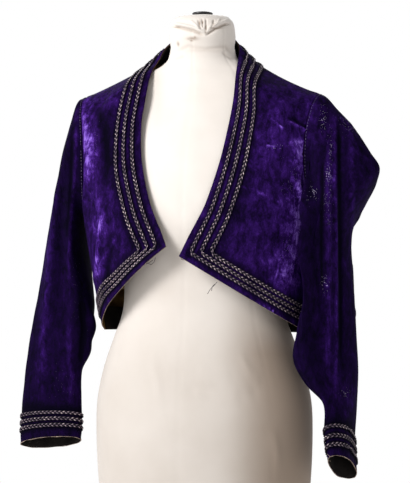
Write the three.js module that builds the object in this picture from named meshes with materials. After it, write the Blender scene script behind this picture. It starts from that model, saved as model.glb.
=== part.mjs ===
// A short velvet bolero jacket, open at the front, shown on a limbless dress form.
// Millimetres, +Z up, the wearer faces -Y and the wearer's left is +X.
// The origin is the centre of the form's flat underside.
import * as THREE from "three";

// The cloth and its trimmings
const VELVET = 1.6; // pile and backing together
const SEAM_GAP = 0.3; // between neighbouring pieces
const INNER_GAP = 0.8; // behind the velvet, where a facing hangs
const SEAM_TRIM = 0.2; // each side of a seam is cut back by this
const FACING = 0.8; // dark cotton facings and lining
const BRAID_THICK = 2.2;
const BRAID_WIDTH = 6.4;
const CUFF_BRAID_WIDTH = 7;
const FRONT_BRAIDS = [15, 30, 45]; // centre lines, in from the front and neck edge
const HEM_BRAIDS = [13, 21.6, 30.2]; // up from the hem

// How finely the cloth is divided
const SIDE_ROWS = 5; // between the hem braids and the underarm
const ARMHOLE_FRONT_ROWS = 16;
const ARMHOLE_BACK_ROWS = 12;
const FRONT_COLUMNS = 6; // outward of the braids
const HALF_BACK_COLUMNS = 7;
const EVEN_HEIGHT = 0.5; // 0 is even steps round the armhole, 1 is even steps up it
const UNDERARM = 0.46; // share of a front's height where the side seam meets the armhole

const vec = (x, y, z) => new THREE.Vector3(x, y, z);
const lerp = THREE.MathUtils.lerp;
const rad = THREE.MathUtils.degToRad;

// Both edges of each braid, with the cloth's own edge first.
function braidLines(centres, width) {
  return [0, ...centres.flatMap((c) => [c - width / 2, c + width / 2])];
}
const FRONT_LINES = braidLines(FRONT_BRAIDS, BRAID_WIDTH);
const HEM_LINES = braidLines(HEM_BRAIDS, BRAID_WIDTH);
const BRAID_STEPS = FRONT_LINES.length - 1;

const velvet = () =>
  new THREE.MeshStandardMaterial({ color: 0x2c1263, roughness: 0.75 });
const braid = () =>
  new THREE.MeshStandardMaterial({
    color: 0x8d7f78,
    roughness: 0.45,
    metalness: 0.6,
  });
const darkCotton = () =>
  new THREE.MeshStandardMaterial({ color: 0x15110f, roughness: 0.9 });
const brownLining = () =>
  new THREE.MeshStandardMaterial({ color: 0x4a3318, roughness: 0.6 });
const calico = () =>
  new THREE.MeshStandardMaterial({ color: 0xece4dc, roughness: 0.85 });
const blackPaint = () =>
  new THREE.MeshStandardMaterial({ color: 0x0c0c0d, roughness: 0.4 });

const part = new THREE.Group();

function add(name, geometry, material) {
  const mesh = new THREE.Mesh(geometry, material);
  mesh.name = name;
  part.add(mesh);
}

// A table's columns at any place between its rows, on a smooth curve through them.
function along(table, at) {
  const last = table.length - 1;
  let i = 0;
  while (i < last - 1 && at > table[i + 1].at) i++;
  const [a, b, c, d] = [i - 1, i, i + 1, i + 2].map(
    (k) => table[Math.min(last, Math.max(0, k))],
  );
  const span = c.at - b.at;
  const t = (at - b.at) / span;
  const blend = (pa, pb, pc, pd) => {
    const slopeB = a === b ? (pc - pb) / span : (pc - pa) / (c.at - a.at);
    const slopeC = d === c ? (pc - pb) / span : (pd - pb) / (d.at - b.at);
    const t2 = t * t;
    const t3 = t2 * t;
    return (
      (2 * t3 - 3 * t2 + 1) * pb +
      (t3 - 2 * t2 + t) * span * slopeB +
      (3 * t2 - 2 * t3) * pc +
      (t3 - t2) * span * slopeC
    );
  };
  const found = {};
  for (const key of Object.keys(b)) {
    found[key] = Array.isArray(b[key])
      ? vec(...[0, 1, 2].map((k) => blend(a[key][k], b[key][k], c[key][k], d[key][k])))
      : blend(a[key], b[key], c[key], d[key]);
  }
  return found;
}

// A soft hump, 1 at the middle and 0 from a half width away.
function hump(distance, halfWidth) {
  const t = Math.min(1, Math.abs(distance) / halfWidth);
  return 0.5 + 0.5 * Math.cos(Math.PI * t);
}

const mirrored = (p, side) => vec(p.x * side, p.y, p.z);

// The point at a share of a curve's length.
function pointAt(curve, share) {
  return curve.getPointAt(Math.min(1, Math.max(0, share)));
}

// Normals of a grid of points, pointing away from its own middle. Wrapped grids close on themselves.
function gridNormals(grid, wrap) {
  const rows = grid.length;
  const columns = grid[0].length;
  const middle = vec(0, 0, 0);
  grid.flat().forEach((p) => middle.addScaledVector(p, 1 / (rows * columns)));
  const normals = grid.map((row) => row.map(() => vec(0, 0, 0)));
  for (let i = 0; i < rows - 1; i++) {
    for (let j = 0; j < (wrap ? columns : columns - 1); j++) {
      const k = (j + 1) % columns;
      const face = grid[i + 1][k].clone().sub(grid[i][j]);
      face.cross(grid[i + 1][j].clone().sub(grid[i][k]));
      face.normalize();
      for (const [r, c] of [[i, j], [i + 1, j], [i, k], [i + 1, k]]) normals[r][c].add(face);
    }
  }
  normals.flat().forEach((n) => n.normalize());
  let outward = 0;
  normals.forEach((row, i) =>
    row.forEach((n, j) => (outward += n.dot(grid[i][j].clone().sub(middle)))),
  );
  if (outward < 0) normals.flat().forEach((n) => n.negate());
  return normals;
}

// All the cells of a grid between two rows and two columns.
function cellsBetween(rowFrom, rowTo, columnFrom, columnTo) {
  const cells = [];
  for (let i = rowFrom; i < rowTo; i++)
    for (let j = columnFrom; j < columnTo; j++) cells.push([i, j]);
  return cells;
}

// A closed wall between two copies of a grid, over the given cells.
function wallGeometry(outer, inner, cells) {
  const columns = outer[0].length;
  const index = new Map();
  const positions = [];
  const vertex = (grid, layer, i, j) => {
    const key = (layer * grid.length + i) * columns + j;
    if (!index.has(key)) {
      index.set(key, positions.length / 3);
      positions.push(...grid[i][j].toArray());
    }
    return index.get(key);
  };
  const triangles = [];
  const edges = new Map();
  for (const [i, j] of cells) {
    const k = (j + 1) % columns;
    const corners = [[i, j], [i + 1, j], [i + 1, k], [i, k]];
    const o = corners.map(([r, c]) => vertex(outer, 0, r, c));
    const n = corners.map(([r, c]) => vertex(inner, 1, r, c));
    triangles.push(o[0], o[1], o[2], o[0], o[2], o[3]);
    triangles.push(n[0], n[2], n[1], n[0], n[3], n[2]);
    for (let e = 0; e < 4; e++) {
      const f = (e + 1) % 4;
      edges.set(o[e] + "_" + o[f], [o[e], o[f], n[e], n[f]]);
    }
  }
  for (const [a, b, c, d] of edges.values()) {
    if (edges.has(b + "_" + a)) continue;
    triangles.push(a, c, d, a, d, b);
  }
  return closedGeometry(positions, triangles);
}

// A mesh geometry whose faces point out, whichever way they were listed.
function closedGeometry(positions, triangles) {
  const geometry = new THREE.BufferGeometry();
  geometry.setAttribute("position", new THREE.Float32BufferAttribute(positions, 3));
  const corner = (t) => vec(...positions.slice(3 * t, 3 * t + 3));
  let volume = 0;
  for (let t = 0; t < triangles.length; t += 3) {
    const [a, b, c] = triangles.slice(t, t + 3).map(corner);
    volume += a.dot(b.cross(c));
  }
  if (volume < 0) {
    for (let t = 0; t < triangles.length; t += 3)
      [triangles[t + 1], triangles[t + 2]] = [triangles[t + 2], triangles[t + 1]];
  }
  geometry.setIndex(triangles);
  return geometry;
}

// A grid moved along its normals.
const moved = (piece, distance) =>
  piece.grid.map((row, i) =>
    row.map((p, j) => p.clone().addScaledVector(piece.normals[i][j], distance)),
  );

function addCloth(name, piece) {
  const columns = piece.grid[0].length - (piece.wrap ? 0 : 1);
  const cells = cellsBetween(0, piece.grid.length - 1, 0, columns);
  add(name, wallGeometry(piece.grid, moved(piece, -VELVET), cells), velvet());
}

// A flat braid that lies on the cloth, over the given cells.
function addBraid(name, piece, cells) {
  const under = moved(piece, SEAM_GAP);
  const over = moved(piece, SEAM_GAP + BRAID_THICK);
  add(name, wallGeometry(over, under, cells), braid());
}

// A thin layer inside the cloth, on every second line of its grid.
function addInnerLayer(name, piece, rows, columns, material) {
  const pick = (grid) => rows.map((i) => columns.map((j) => grid[i][j]));
  const near = pick(moved(piece, -VELVET - INNER_GAP));
  const far = pick(moved(piece, -VELVET - INNER_GAP - FACING));
  const last = piece.wrap ? columns.length : columns.length - 1;
  add(name, wallGeometry(near, far, cellsBetween(0, rows.length - 1, 0, last)), material);
}

// The dress form: a smooth torso, hip to neck, under stretched calico. At each height: its half
// width, its depths in front of and behind the middle, where the middle lies, and how much
// further the centre of the throat and chest stands out.
const FORM = [
  { at: 0, wide: 156, front: 104, back: 108, y: 0, throat: 0 },
  { at: 60, wide: 167, front: 110, back: 114, y: 0, throat: 0 },
  { at: 115, wide: 175, front: 114, back: 118, y: 0, throat: 0 },
  { at: 200, wide: 179, front: 115, back: 120, y: 0, throat: 0 },
  { at: 250, wide: 177, front: 112, back: 118, y: 0, throat: 0 },
  { at: 300, wide: 166, front: 105, back: 108, y: 0, throat: 0 },
  { at: 345, wide: 150, front: 96, back: 95, y: 0, throat: 0 },
  { at: 385, wide: 135, front: 88, back: 86, y: 0, throat: 0 },
  { at: 420, wide: 131, front: 86, back: 84, y: 0, throat: 0 },
  { at: 480, wide: 135, front: 88, back: 88, y: 0, throat: 0 },
  { at: 545, wide: 143, front: 93, back: 95, y: 0, throat: 0 },
  { at: 605, wide: 149, front: 90, back: 101, y: 0, throat: 1 },
  { at: 655, wide: 155, front: 77, back: 103, y: 0, throat: 3 },
  { at: 690, wide: 163, front: 63, back: 97, y: 2, throat: 5 },
  { at: 716, wide: 166, front: 50, back: 86, y: 4, throat: 7 },
  { at: 735, wide: 161, front: 42, back: 75, y: 4, throat: 8 },
  { at: 748, wide: 144, front: 39, back: 67, y: 3, throat: 8 },
  { at: 757, wide: 124, front: 38, back: 61, y: 3, throat: 8 },
  { at: 766, wide: 103, front: 37, back: 56, y: 2, throat: 8 },
  { at: 775, wide: 87, front: 37, back: 53, y: 1, throat: 8 },
  { at: 783, wide: 69, front: 39, back: 51, y: 1, throat: 6 },
  { at: 791, wide: 58.5, front: 41, back: 50, y: 1, throat: 4 },
  { at: 800, wide: 54, front: 44, back: 49, y: 1, throat: 2 },
  { at: 815, wide: 52, front: 47, back: 48, y: 1, throat: 1 },
  { at: 840, wide: 52, front: 50, back: 48, y: 1, throat: 0 },
  { at: 852, wide: 49, front: 47, back: 46, y: 1, throat: 0 },
  { at: 859, wide: 41, front: 40, back: 39, y: 1, throat: 0 },
  { at: 862, wide: 28, front: 27, back: 27, y: 1, throat: 0 },
];
const THROAT_WIDTH = 45;
const FORM_SIDES = 28;
const FORM_SHIFT_X = -2;
const FORM_TOP = 863;

function addForm() {
  const positions = [];
  const triangles = [];
  FORM.forEach((ring) => {
    for (let j = 0; j < FORM_SIDES; j++) {
      const turn = (2 * Math.PI * j) / FORM_SIDES;
      const before = Math.sin(turn) < 0;
      const x = ring.wide * Math.cos(turn);
      const y = ring.y + (before ? ring.front : ring.back) * Math.sin(turn);
      const throat = before ? ring.throat * Math.exp(-((x / THROAT_WIDTH) ** 2)) : 0;
      positions.push(x + FORM_SHIFT_X * (ring.at / FORM_TOP), y - throat, ring.at);
    }
  });
  for (let i = 0; i < FORM.length - 1; i++) {
    for (let j = 0; j < FORM_SIDES; j++) {
      const k = (j + 1) % FORM_SIDES;
      const [a, b] = [i * FORM_SIDES, (i + 1) * FORM_SIDES];
      triangles.push(a + j, a + k, b + k, a + j, b + k, b + j);
    }
  }
  const top = positions.length / 3;
  positions.push(FORM_SHIFT_X, FORM[FORM.length - 1].y, FORM_TOP);
  positions.push(0, 0, 0);
  const lastRing = (FORM.length - 1) * FORM_SIDES;
  for (let j = 0; j < FORM_SIDES; j++) {
    const k = (j + 1) % FORM_SIDES;
    triangles.push(lastRing + j, lastRing + k, top, k, j, top + 1);
  }
  add("dress_form", closedGeometry(positions, triangles), calico());
}

// The black cap of the form's pole, which stands on the neck.
const POLE_CAP = [
  { r: 15, h: 0 },
  { r: 16, h: 2 },
  { r: 15, h: 4.5 },
  { r: 8, h: 6 },
];

function addPoleCap() {
  const outline = POLE_CAP.map(({ r, h }) => new THREE.Vector2(r, h));
  const top = POLE_CAP[POLE_CAP.length - 1].h;
  const profile = [new THREE.Vector2(0, 0), ...outline, new THREE.Vector2(0, top + 0.5)];
  const geometry = new THREE.LatheGeometry(profile, 20);
  geometry.rotateX(Math.PI / 2);
  geometry.translate(FORM_SHIFT_X, FORM[FORM.length - 1].y, FORM_TOP + SEAM_GAP);
  add("pole_cap", geometry, blackPaint());
}

// Each side of the jacket. A front is a run of rows from its front edge to the side seam and
// armhole. A row is a curve: it leaves the edge along edgePull and comes to the side from its
// guide, which is given as x from the side's own, then y and z.
const LEFT = {
  name: "left",
  side: 1,
  seam: [
    { at: 0, out: [178, 0, 358] },
    { at: 0.2, out: [181, 0, 440] },
    { at: UNDERARM, out: [190, 2, 545] },
  ],
  armhole: { top: [192, 5, 733], bottom: [190, 2, 545], front: 54, back: 58, bulge: -9 },
  neckLift: 0,
  cuffBraids: [17, 30, 45],
  rows: [
    { at: 0, edge: [3.9, -122, 479], edgePull: [85, 0, -48], guide: [0, -64, 368] },
    { at: 0.12, edge: [20, -106, 521], edgePull: [70, -14, -44], guide: [1, -68, 419] },
    { at: 0.23, edge: [36, -99.5, 553], edgePull: [58, -20, -34], guide: [3, -74, 466] },
    { at: UNDERARM, edge: [57, -86, 623], edgePull: [46, -22, -16], guide: [3, -77, 563] },
    { at: 0.62, edge: [65.6, -69, 680], edgePull: [44, -18, -12], guide: [-5, -81, 603] },
    { at: 0.75, edge: [68, -52, 722], edgePull: [42, -18, -12], guide: [-18, -77, 668] },
    { at: 0.88, edge: [66.5, -33, 769], edgePull: [34, -22, -16], guide: [-42, -58, 715] },
    { at: 1, edge: [58, 8, 803], edgePull: [25, 0, -18], guide: [-55, 8, 752] },
  ],
};
const RIGHT = {
  name: "right",
  side: -1,
  seam: [
    { at: 0, out: [172, 0, 358] },
    { at: 0.2, out: [186, 0, 440] },
    { at: UNDERARM, out: [200, 2, 545] },
  ],
  armhole: { top: [206, 5, 738], bottom: [200, 2, 545], front: 54, back: 58, bulge: -15 },
  neckLift: 16,
  cuffBraids: [20, 31, 42],
  rows: [
    { at: 0, edge: [17.5, -122, 494], edgePull: [72, 0, -50], guide: [-2, -66, 370] },
    { at: 0.12, edge: [34, -107, 523], edgePull: [60, -12, -44], guide: [0, -70, 421] },
    { at: 0.23, edge: [51, -99.5, 556], edgePull: [52, -18, -34], guide: [2, -74, 468] },
    { at: UNDERARM, edge: [72, -85, 626], edgePull: [42, -20, -16], guide: [2, -74, 563] },
    { at: 0.62, edge: [80, -68, 684], edgePull: [40, -18, -12], guide: [-8, -80, 607] },
    { at: 0.75, edge: [80, -51, 726], edgePull: [38, -18, -12], guide: [-19, -75, 670] },
    { at: 0.88, edge: [78.5, -30, 770], edgePull: [32, -20, -16], guide: [-42, -57, 717] },
    { at: 1, edge: [79, 8, 797], edgePull: [22, 0, -14], guide: [-50, 8, 757] },
  ],
};

// The armhole, an oval from the shoulder point (turn 0) round the front (90 degrees) to the
// underarm (180) and up the back (270).
function armholePoint(cut, turn) {
  const [top, bottom] = [cut.armhole.top, cut.armhole.bottom];
  const t = rad(turn);
  const high = (1 + Math.cos(t)) / 2;
  const reach = Math.sin(t) > 0 ? cut.armhole.front : cut.armhole.back;
  const x = lerp(bottom[0], top[0], high) + cut.armhole.bulge * Math.sin(t) ** 2;
  const y = lerp(bottom[1], top[1], high) - reach * Math.sin(t);
  return vec(x, y, lerp(bottom[2], top[2], high));
}

// The turn round the armhole at a share of the way up from the underarm. It is partly evened out
// by height, so that the lines across a panel don't crowd together under the arm.
function armholeTurn(share) {
  return 180 * (1 - lerp(share, Math.acos(1 - 2 * share) / Math.PI, EVEN_HEIGHT));
}

// The side of a front or back at a share of its height: the side seam, then the armhole.
function sidePoint(cut, at, backwards) {
  if (at <= UNDERARM) return along(cut.seam, at).out;
  const turn = armholeTurn((at - UNDERARM) / (1 - UNDERARM));
  return armholePoint(cut, backwards ? 360 - turn : turn);
}

const bezier = (a, b, c, d) => new THREE.CubicBezierCurve3(a, b, c, d);

function frontRow(cut, at) {
  const row = along(cut.rows, at);
  const side = sidePoint(cut, at, false);
  const edgeHandle = row.edge.clone().add(row.edgePull);
  const sideHandle = vec(side.x + row.guide.x, row.guide.y, row.guide.z);
  return bezier(row.edge, edgeHandle, sideHandle, side);
}

// How far up each line of the grid lies, as a share of the column's height.
function frontHeights(cut, columnLength) {
  const heights = HEM_LINES.map((mm) => mm / columnLength);
  const low = heights[BRAID_STEPS];
  for (let i = 1; i <= SIDE_ROWS; i++) heights.push(lerp(low, UNDERARM, i / SIDE_ROWS));
  for (let i = 1; i <= ARMHOLE_FRONT_ROWS; i++)
    heights.push(lerp(UNDERARM, 1, i / ARMHOLE_FRONT_ROWS));
  return heights;
}

// How far along a row each line of the grid lies, as a share of the row's length.
function frontShares(rowLength) {
  const shares = FRONT_LINES.map((mm) => mm / rowLength);
  const start = shares[BRAID_STEPS];
  for (let j = 1; j <= FRONT_COLUMNS; j++) shares.push(lerp(start, 1, j / FRONT_COLUMNS));
  return shares;
}

// The soft folds of the two fronts. Each runs from one place to another on the panel, given as
// shares of its width and height, with its height off the cloth and its half width in mm.
const FRONT_FOLDS = {
  left: [
    { from: [0.72, 0.96], to: [0.98, 0.76], height: -3, half: 22 },
    { from: [0.62, 0.8], to: [0.96, 0.66], height: 3, half: 24 },
    { from: [0.8, 0.6], to: [0.94, 0.4], height: 4, half: 26 },
    { from: [0.74, 0.1], to: [0.86, 0.36], height: 3, half: 28 },
  ],
  right: [
    { from: [0.6, 0.05], to: [0.72, 0.45], height: 4, half: 24 },
    { from: [0.84, 0.0], to: [0.86, 0.4], height: -3, half: 22 },
    { from: [0.6, 0.9], to: [0.94, 0.7], height: -2.5, half: 24 },
  ],
};
const FOLD_END = 0.22; // share of a fold over which it fades in or out

function foldHeight(folds, share, at, width, height) {
  let total = 0;
  for (const fold of folds) {
    const start = [fold.from[0] * width, fold.from[1] * height];
    const run = [fold.to[0] * width - start[0], fold.to[1] * height - start[1]];
    const gone = [share * width - start[0], at * height - start[1]];
    const length = Math.hypot(...run);
    const t = (gone[0] * run[0] + gone[1] * run[1]) / length ** 2;
    if (t < -FOLD_END || t > 1 + FOLD_END) continue;
    const off = Math.abs(gone[0] * run[1] - gone[1] * run[0]) / length;
    const past = t < 0 ? -t : Math.max(0, t - 1);
    total += fold.height * hump(off, fold.half) * hump(past, FOLD_END);
  }
  return total;
}

function makeFront(cut) {
  const edge = new THREE.CatmullRomCurve3(cut.rows.map((r) => vec(...r.edge)));
  const edgeLength = edge.getLength();
  const heights = frontHeights(cut, edgeLength);
  const curves = heights.map((at) => frontRow(cut, at));
  const width = curves[BRAID_STEPS].getLength();
  const grid = heights.map((at, i) =>
    frontShares(curves[i].getLength()).map((share) =>
      mirrored(pointAt(curves[i], share), cut.side),
    ),
  );
  const bare = gridNormals(grid, false);
  grid.forEach((row, i) =>
    row.forEach((p, j) => {
      const share = frontShares(width)[j];
      const lift = foldHeight(FRONT_FOLDS[cut.name], share, heights[i], width, edgeLength);
      const edgeFade = Math.min(1, (row.length - 1 - j) / 2, (grid.length - 1 - i) / 2);
      p.addScaledVector(bare[i][j], lift * edgeFade);
    }),
  );
  return { grid, wrap: false };
}

// The back, cut in one, from its hem to a neck edge that stands up behind the form's neck. Each
// row runs from the middle line, which it leaves level, to the side seam, the armhole and then
// the shoulder seam. "at" is the way up the middle line from the hem.
const BACK_UNDERARM = BRAID_STEPS + SIDE_ROWS;
const BACK_SHOULDER = BACK_UNDERARM + ARMHOLE_BACK_ROWS;
const BACK_NECK_BRAIDS = BACK_SHOULDER + FRONT_COLUMNS;
const BACK_NECK = BACK_NECK_BRAIDS + BRAID_STEPS;
const BACK = [
  { at: 0, x: 0, y: 104, z: 354, reach: 96, nearNeck: 0, guide: [2, 58, 356] },
  { at: 33, x: 0, y: 104, z: 387, reach: 96, nearNeck: 0, guide: [2, 60, 390] },
  { at: 191, x: -1, y: 110, z: 545, reach: 100, nearNeck: 0, guide: [2, 78, 547] },
  { at: 253, x: -2, y: 114, z: 607, reach: 98, nearNeck: 0, guide: [0, 94, 607] },
  { at: 322, x: -3, y: 112, z: 676, reach: 92, nearNeck: 0, guide: [-12, 94, 682] },
  { at: 374, x: -4, y: 101, z: 728, reach: 78, nearNeck: 0, guide: [-34, 67, 737] },
  { at: 404, x: -5, y: 90, z: 756, reach: 66, nearNeck: 0.3, guide: [-26, 64, 757] },
  { at: 450, x: -6, y: 70, z: 797, reach: 44, nearNeck: 1, guide: [-14, 53, 786] },
  { at: 474, x: -7, y: 62, z: 820, reach: 36, nearNeck: 1, guide: [-7, 41, 805] },
  { at: 498, x: -8, y: 56, z: 843, reach: 32, nearNeck: 0.8, guide: [-3, 32, 823] },
];
const BACK_UNDERARM_AT = 191;
const BACK_SHOULDER_AT = 374;
const BACK_NECK_AT = 498;

function backPlaces() {
  const places = HEM_LINES.slice();
  const spread = (count, to) => {
    const from = places[places.length - 1];
    for (let i = 1; i <= count; i++) places.push(lerp(from, to, i / count));
  };
  spread(SIDE_ROWS, BACK_UNDERARM_AT);
  spread(ARMHOLE_BACK_ROWS, BACK_SHOULDER_AT);
  spread(FRONT_COLUMNS, BACK_NECK_AT - FRONT_LINES[BRAID_STEPS]);
  for (let i = BRAID_STEPS - 1; i >= 0; i--) places.push(BACK_NECK_AT - FRONT_LINES[i]);
  return places;
}

function makeHalfBack(cut, front) {
  const seamLine = front.grid[front.grid.length - 1].slice().reverse();
  const sides = [];
  for (let i = 0; i <= BACK_UNDERARM; i++) sides.push(front.grid[i][front.grid[i].length - 1]);
  for (let i = 1; i <= ARMHOLE_BACK_ROWS; i++) {
    const at = lerp(UNDERARM, 1, i / ARMHOLE_BACK_ROWS);
    sides.push(mirrored(sidePoint(cut, at, true), cut.side));
  }
  sides.push(...seamLine.slice(1));
  const places = backPlaces();
  return sides.map((side, i) => {
    const row = along(BACK, places[i]);
    const middle = vec(row.x, row.y, row.z);
    const middleHandle = middle.clone().add(vec(row.reach * cut.side, 0, 0));
    const guideX = side.x + row.guide.x * cut.side;
    const sideHandle = vec(guideX, row.guide.y, row.guide.z + cut.neckLift * row.nearNeck);
    const curve = bezier(middle, middleHandle, sideHandle, side.clone());
    const line = [];
    for (let j = 0; j <= HALF_BACK_COLUMNS; j++) line.push(pointAt(curve, j / HALF_BACK_COLUMNS));
    return line;
  });
}

function makeBack(leftFront, rightFront) {
  const left = makeHalfBack(LEFT, leftFront);
  const right = makeHalfBack(RIGHT, rightFront);
  const grid = left.map((line, i) => [...right[i].slice(1).reverse(), ...line]);
  return { grid, wrap: false };
}

// A sleeve, cut full at the head and narrow at the wrist. It hangs empty. Each ring has its
// underarm point and its outermost point, how far it reaches in front and behind, how much higher
// its front is than its middle, how far its front tucks in and how far its back trails out.
const LEFT_SLEEVE = [
  { at: 0, under: [190, 2, 545], cap: [192, 5, 733], front: 54, back: 58, rise: 0, tuck: 0, trail: 0 },
  { at: 1, under: [196, 1, 543], cap: [202, 5, 721], front: 54, back: 58, rise: 0, tuck: 8, trail: 0 },
  { at: 2, under: [201, 0, 539], cap: [220, 6, 707], front: 57, back: 59, rise: 0, tuck: 20, trail: 0 },
  { at: 3, under: [204, -3, 532], cap: [239, 7, 688], front: 60, back: 60, rise: 0, tuck: 30, trail: 0 },
  { at: 4, under: [205, -7, 522], cap: [256, 8, 665], front: 62, back: 61, rise: 0, tuck: 38, trail: 0 },
  { at: 5, under: [204, -12, 508], cap: [270, 9, 637], front: 63, back: 61, rise: 0, tuck: 43, trail: 0 },
  { at: 6, under: [202, -18, 492], cap: [283, 9, 610], front: 62, back: 59, rise: 0, tuck: 41, trail: 0 },
  { at: 7, under: [199, -25, 474], cap: [266, 10, 573], front: 58, back: 56, rise: 0, tuck: 37, trail: 0 },
  { at: 8, under: [195, -33, 453], cap: [242, 11, 530], front: 52, back: 52, rise: 0, tuck: 27, trail: 0 },
  { at: 9, under: [190, -42, 430], cap: [239, 11, 500], front: 46, back: 48, rise: 0, tuck: 17, trail: 0 },
  { at: 10, under: [184, -52, 402], cap: [242, 12, 452], front: 40, back: 44, rise: 0, tuck: 11, trail: 0 },
  { at: 11, under: [178, -60, 370], cap: [246, 12, 404], front: 36, back: 41, rise: 0, tuck: 10, trail: 0 },
  { at: 12, under: [173, -60, 324], cap: [249, 12, 352], front: 35, back: 39, rise: 0, tuck: 7, trail: 2 },
  { at: 13, under: [189, -49, 284], cap: [252, 9, 298], front: 36, back: 38, rise: 3, tuck: 5, trail: 4 },
  { at: 14, under: [212, -30, 246], cap: [249, 3, 252], front: 39, back: 40, rise: 10, tuck: 6, trail: 6 },
  { at: 15, under: [212, -14, 203], cap: [246, -12, 222], front: 43, back: 43, rise: 18, tuck: 8, trail: 8 },
  { at: 16, under: [219, -10, 142], cap: [249, -16, 162], front: 43, back: 44, rise: 20, tuck: 8, trail: 8 },
];
const RIGHT_SLEEVE = [
  { at: 0, under: [200, 2, 545], cap: [206, 5, 738], front: 54, back: 58, rise: 0, tuck: 0, trail: 0 },
  { at: 1, under: [205, 2, 543], cap: [213, 5, 729], front: 55, back: 59, rise: 0, tuck: 0, trail: 0 },
  { at: 2, under: [208, 2, 540], cap: [222, 8, 710], front: 55, back: 62, rise: 0, tuck: 0, trail: 0 },
  { at: 3, under: [209, 2, 534], cap: [231, 11, 688], front: 55, back: 66, rise: 0, tuck: 0, trail: 0 },
  { at: 4, under: [210, 2, 526], cap: [240, 14, 664], front: 54, back: 70, rise: 0, tuck: 0, trail: 0 },
  { at: 5, under: [210, 3, 515], cap: [248, 17, 635], front: 52, back: 73, rise: 0, tuck: 0, trail: 0 },
  { at: 6, under: [210, 4, 500], cap: [257, 18, 602], front: 50, back: 70, rise: 0, tuck: 0, trail: 0 },
  { at: 7, under: [208, 5, 482], cap: [264, 17, 567], front: 47, back: 63, rise: 0, tuck: 0, trail: 0 },
  { at: 8, under: [205, 6, 460], cap: [271, 15, 531], front: 43, back: 55, rise: 0, tuck: 0, trail: 0 },
  { at: 9, under: [200, 5, 432], cap: [278, 12, 494], front: 39, back: 48, rise: 0, tuck: 0, trail: 0 },
  { at: 10, under: [194, 3, 400], cap: [285, 8, 450], front: 35, back: 42, rise: 0, tuck: 0, trail: 0 },
  { at: 11, under: [193, 0, 365], cap: [293, 4, 404], front: 31, back: 36, rise: 0, tuck: 0, trail: 0 },
  { at: 12, under: [200, -3, 325], cap: [302, 0, 354], front: 28, back: 31, rise: 0, tuck: 0, trail: 0 },
  { at: 13, under: [210, -6, 290], cap: [308, -4, 308], front: 25, back: 28, rise: 2, tuck: 0, trail: 0 },
  { at: 14, under: [210, -8, 252], cap: [313, -7, 258], front: 23, back: 25, rise: 5, tuck: 0, trail: 0 },
  { at: 15, under: [208, -10, 222], cap: [316, -9, 216], front: 21, back: 22, rise: 8, tuck: 0, trail: 0 },
  { at: 16, under: [208, -12, 179], cap: [318, -10, 166], front: 19, back: 20, rise: 10, tuck: 0, trail: 0 },
];
// Long folds that run down a sleeve: the turn round it at the top and at the wrist, the height
// off the cloth, the half width in degrees, and the rings between which it shows.
const SLEEVE_FOLDS = {
  left: [
    { top: 113, low: 104, height: 11, half: 24, from: 0, to: 14.5 },
    { top: 88, low: 84, height: -9, half: 20, from: 0, to: 13.5 },
    { top: 141, low: 135, height: -10, half: 24, from: 1, to: 11 },
    { top: 62, low: 60, height: 5, half: 22, from: 1, to: 12 },
    { top: 0, low: 0, height: 7, half: 20, from: 4.5, to: 7.5 },
    { top: 180, low: 180, height: 6, half: 20, from: 11, to: 14 },
    { top: 255, low: 262, height: 7, half: 26, from: 1, to: 13 },
    { top: 300, low: 296, height: -7, half: 26, from: 1, to: 13 },
  ],
  right: [
    { top: 70, low: 66, height: 5, half: 24, from: 0.5, to: 13 },
    { top: 101, low: 96, height: -5, half: 22, from: 0.5, to: 12 },
    { top: 135, low: 124, height: 4, half: 22, from: 2, to: 13.5 },
    { top: 180, low: 180, height: 7, half: 22, from: 10, to: 12.8 },
    { top: 270, low: 268, height: 9, half: 26, from: 1, to: 12 },
    { top: 312, low: 306, height: -7, half: 26, from: 1, to: 12 },
    { top: 232, low: 238, height: -7, half: 24, from: 1, to: 12 },
  ],
};
const CUFF_RING = 15; // the ring at the top of the cuff
const HEAD_BLEND = 2.4; // rings over which the sleeve leaves the armhole's own shape
const HEAD_STEP = 9; // how far it moves out of the armhole with each ring
const FOLD_FADE = 0.7; // how fast a long fold fades in and out

function sleeveTurns() {
  const turns = [];
  for (let j = 0; j < ARMHOLE_FRONT_ROWS; j++) turns.push(armholeTurn(1 - j / ARMHOLE_FRONT_ROWS));
  for (let j = 0; j < ARMHOLE_BACK_ROWS; j++) turns.push(360 - armholeTurn(j / ARMHOLE_BACK_ROWS));
  return turns;
}

// Every ring of a sleeve in order: the head, the arm, and the lines of the cuff braids.
function sleevePlaces(cut, table) {
  const places = table.filter((ring) => ring.at < CUFF_RING).map((ring) => ring.at);
  const [high, low] = [table[CUFF_RING], table[table.length - 1]];
  const cuffLength = (high.under[2] + high.cap[2] - low.under[2] - low.cap[2]) / 2;
  const lines = braidLines(cut.cuffBraids, CUFF_BRAID_WIDTH);
  for (const mm of lines.reverse()) places.push(low.at - (mm / cuffLength) * (low.at - high.at));
  return places;
}

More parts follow.
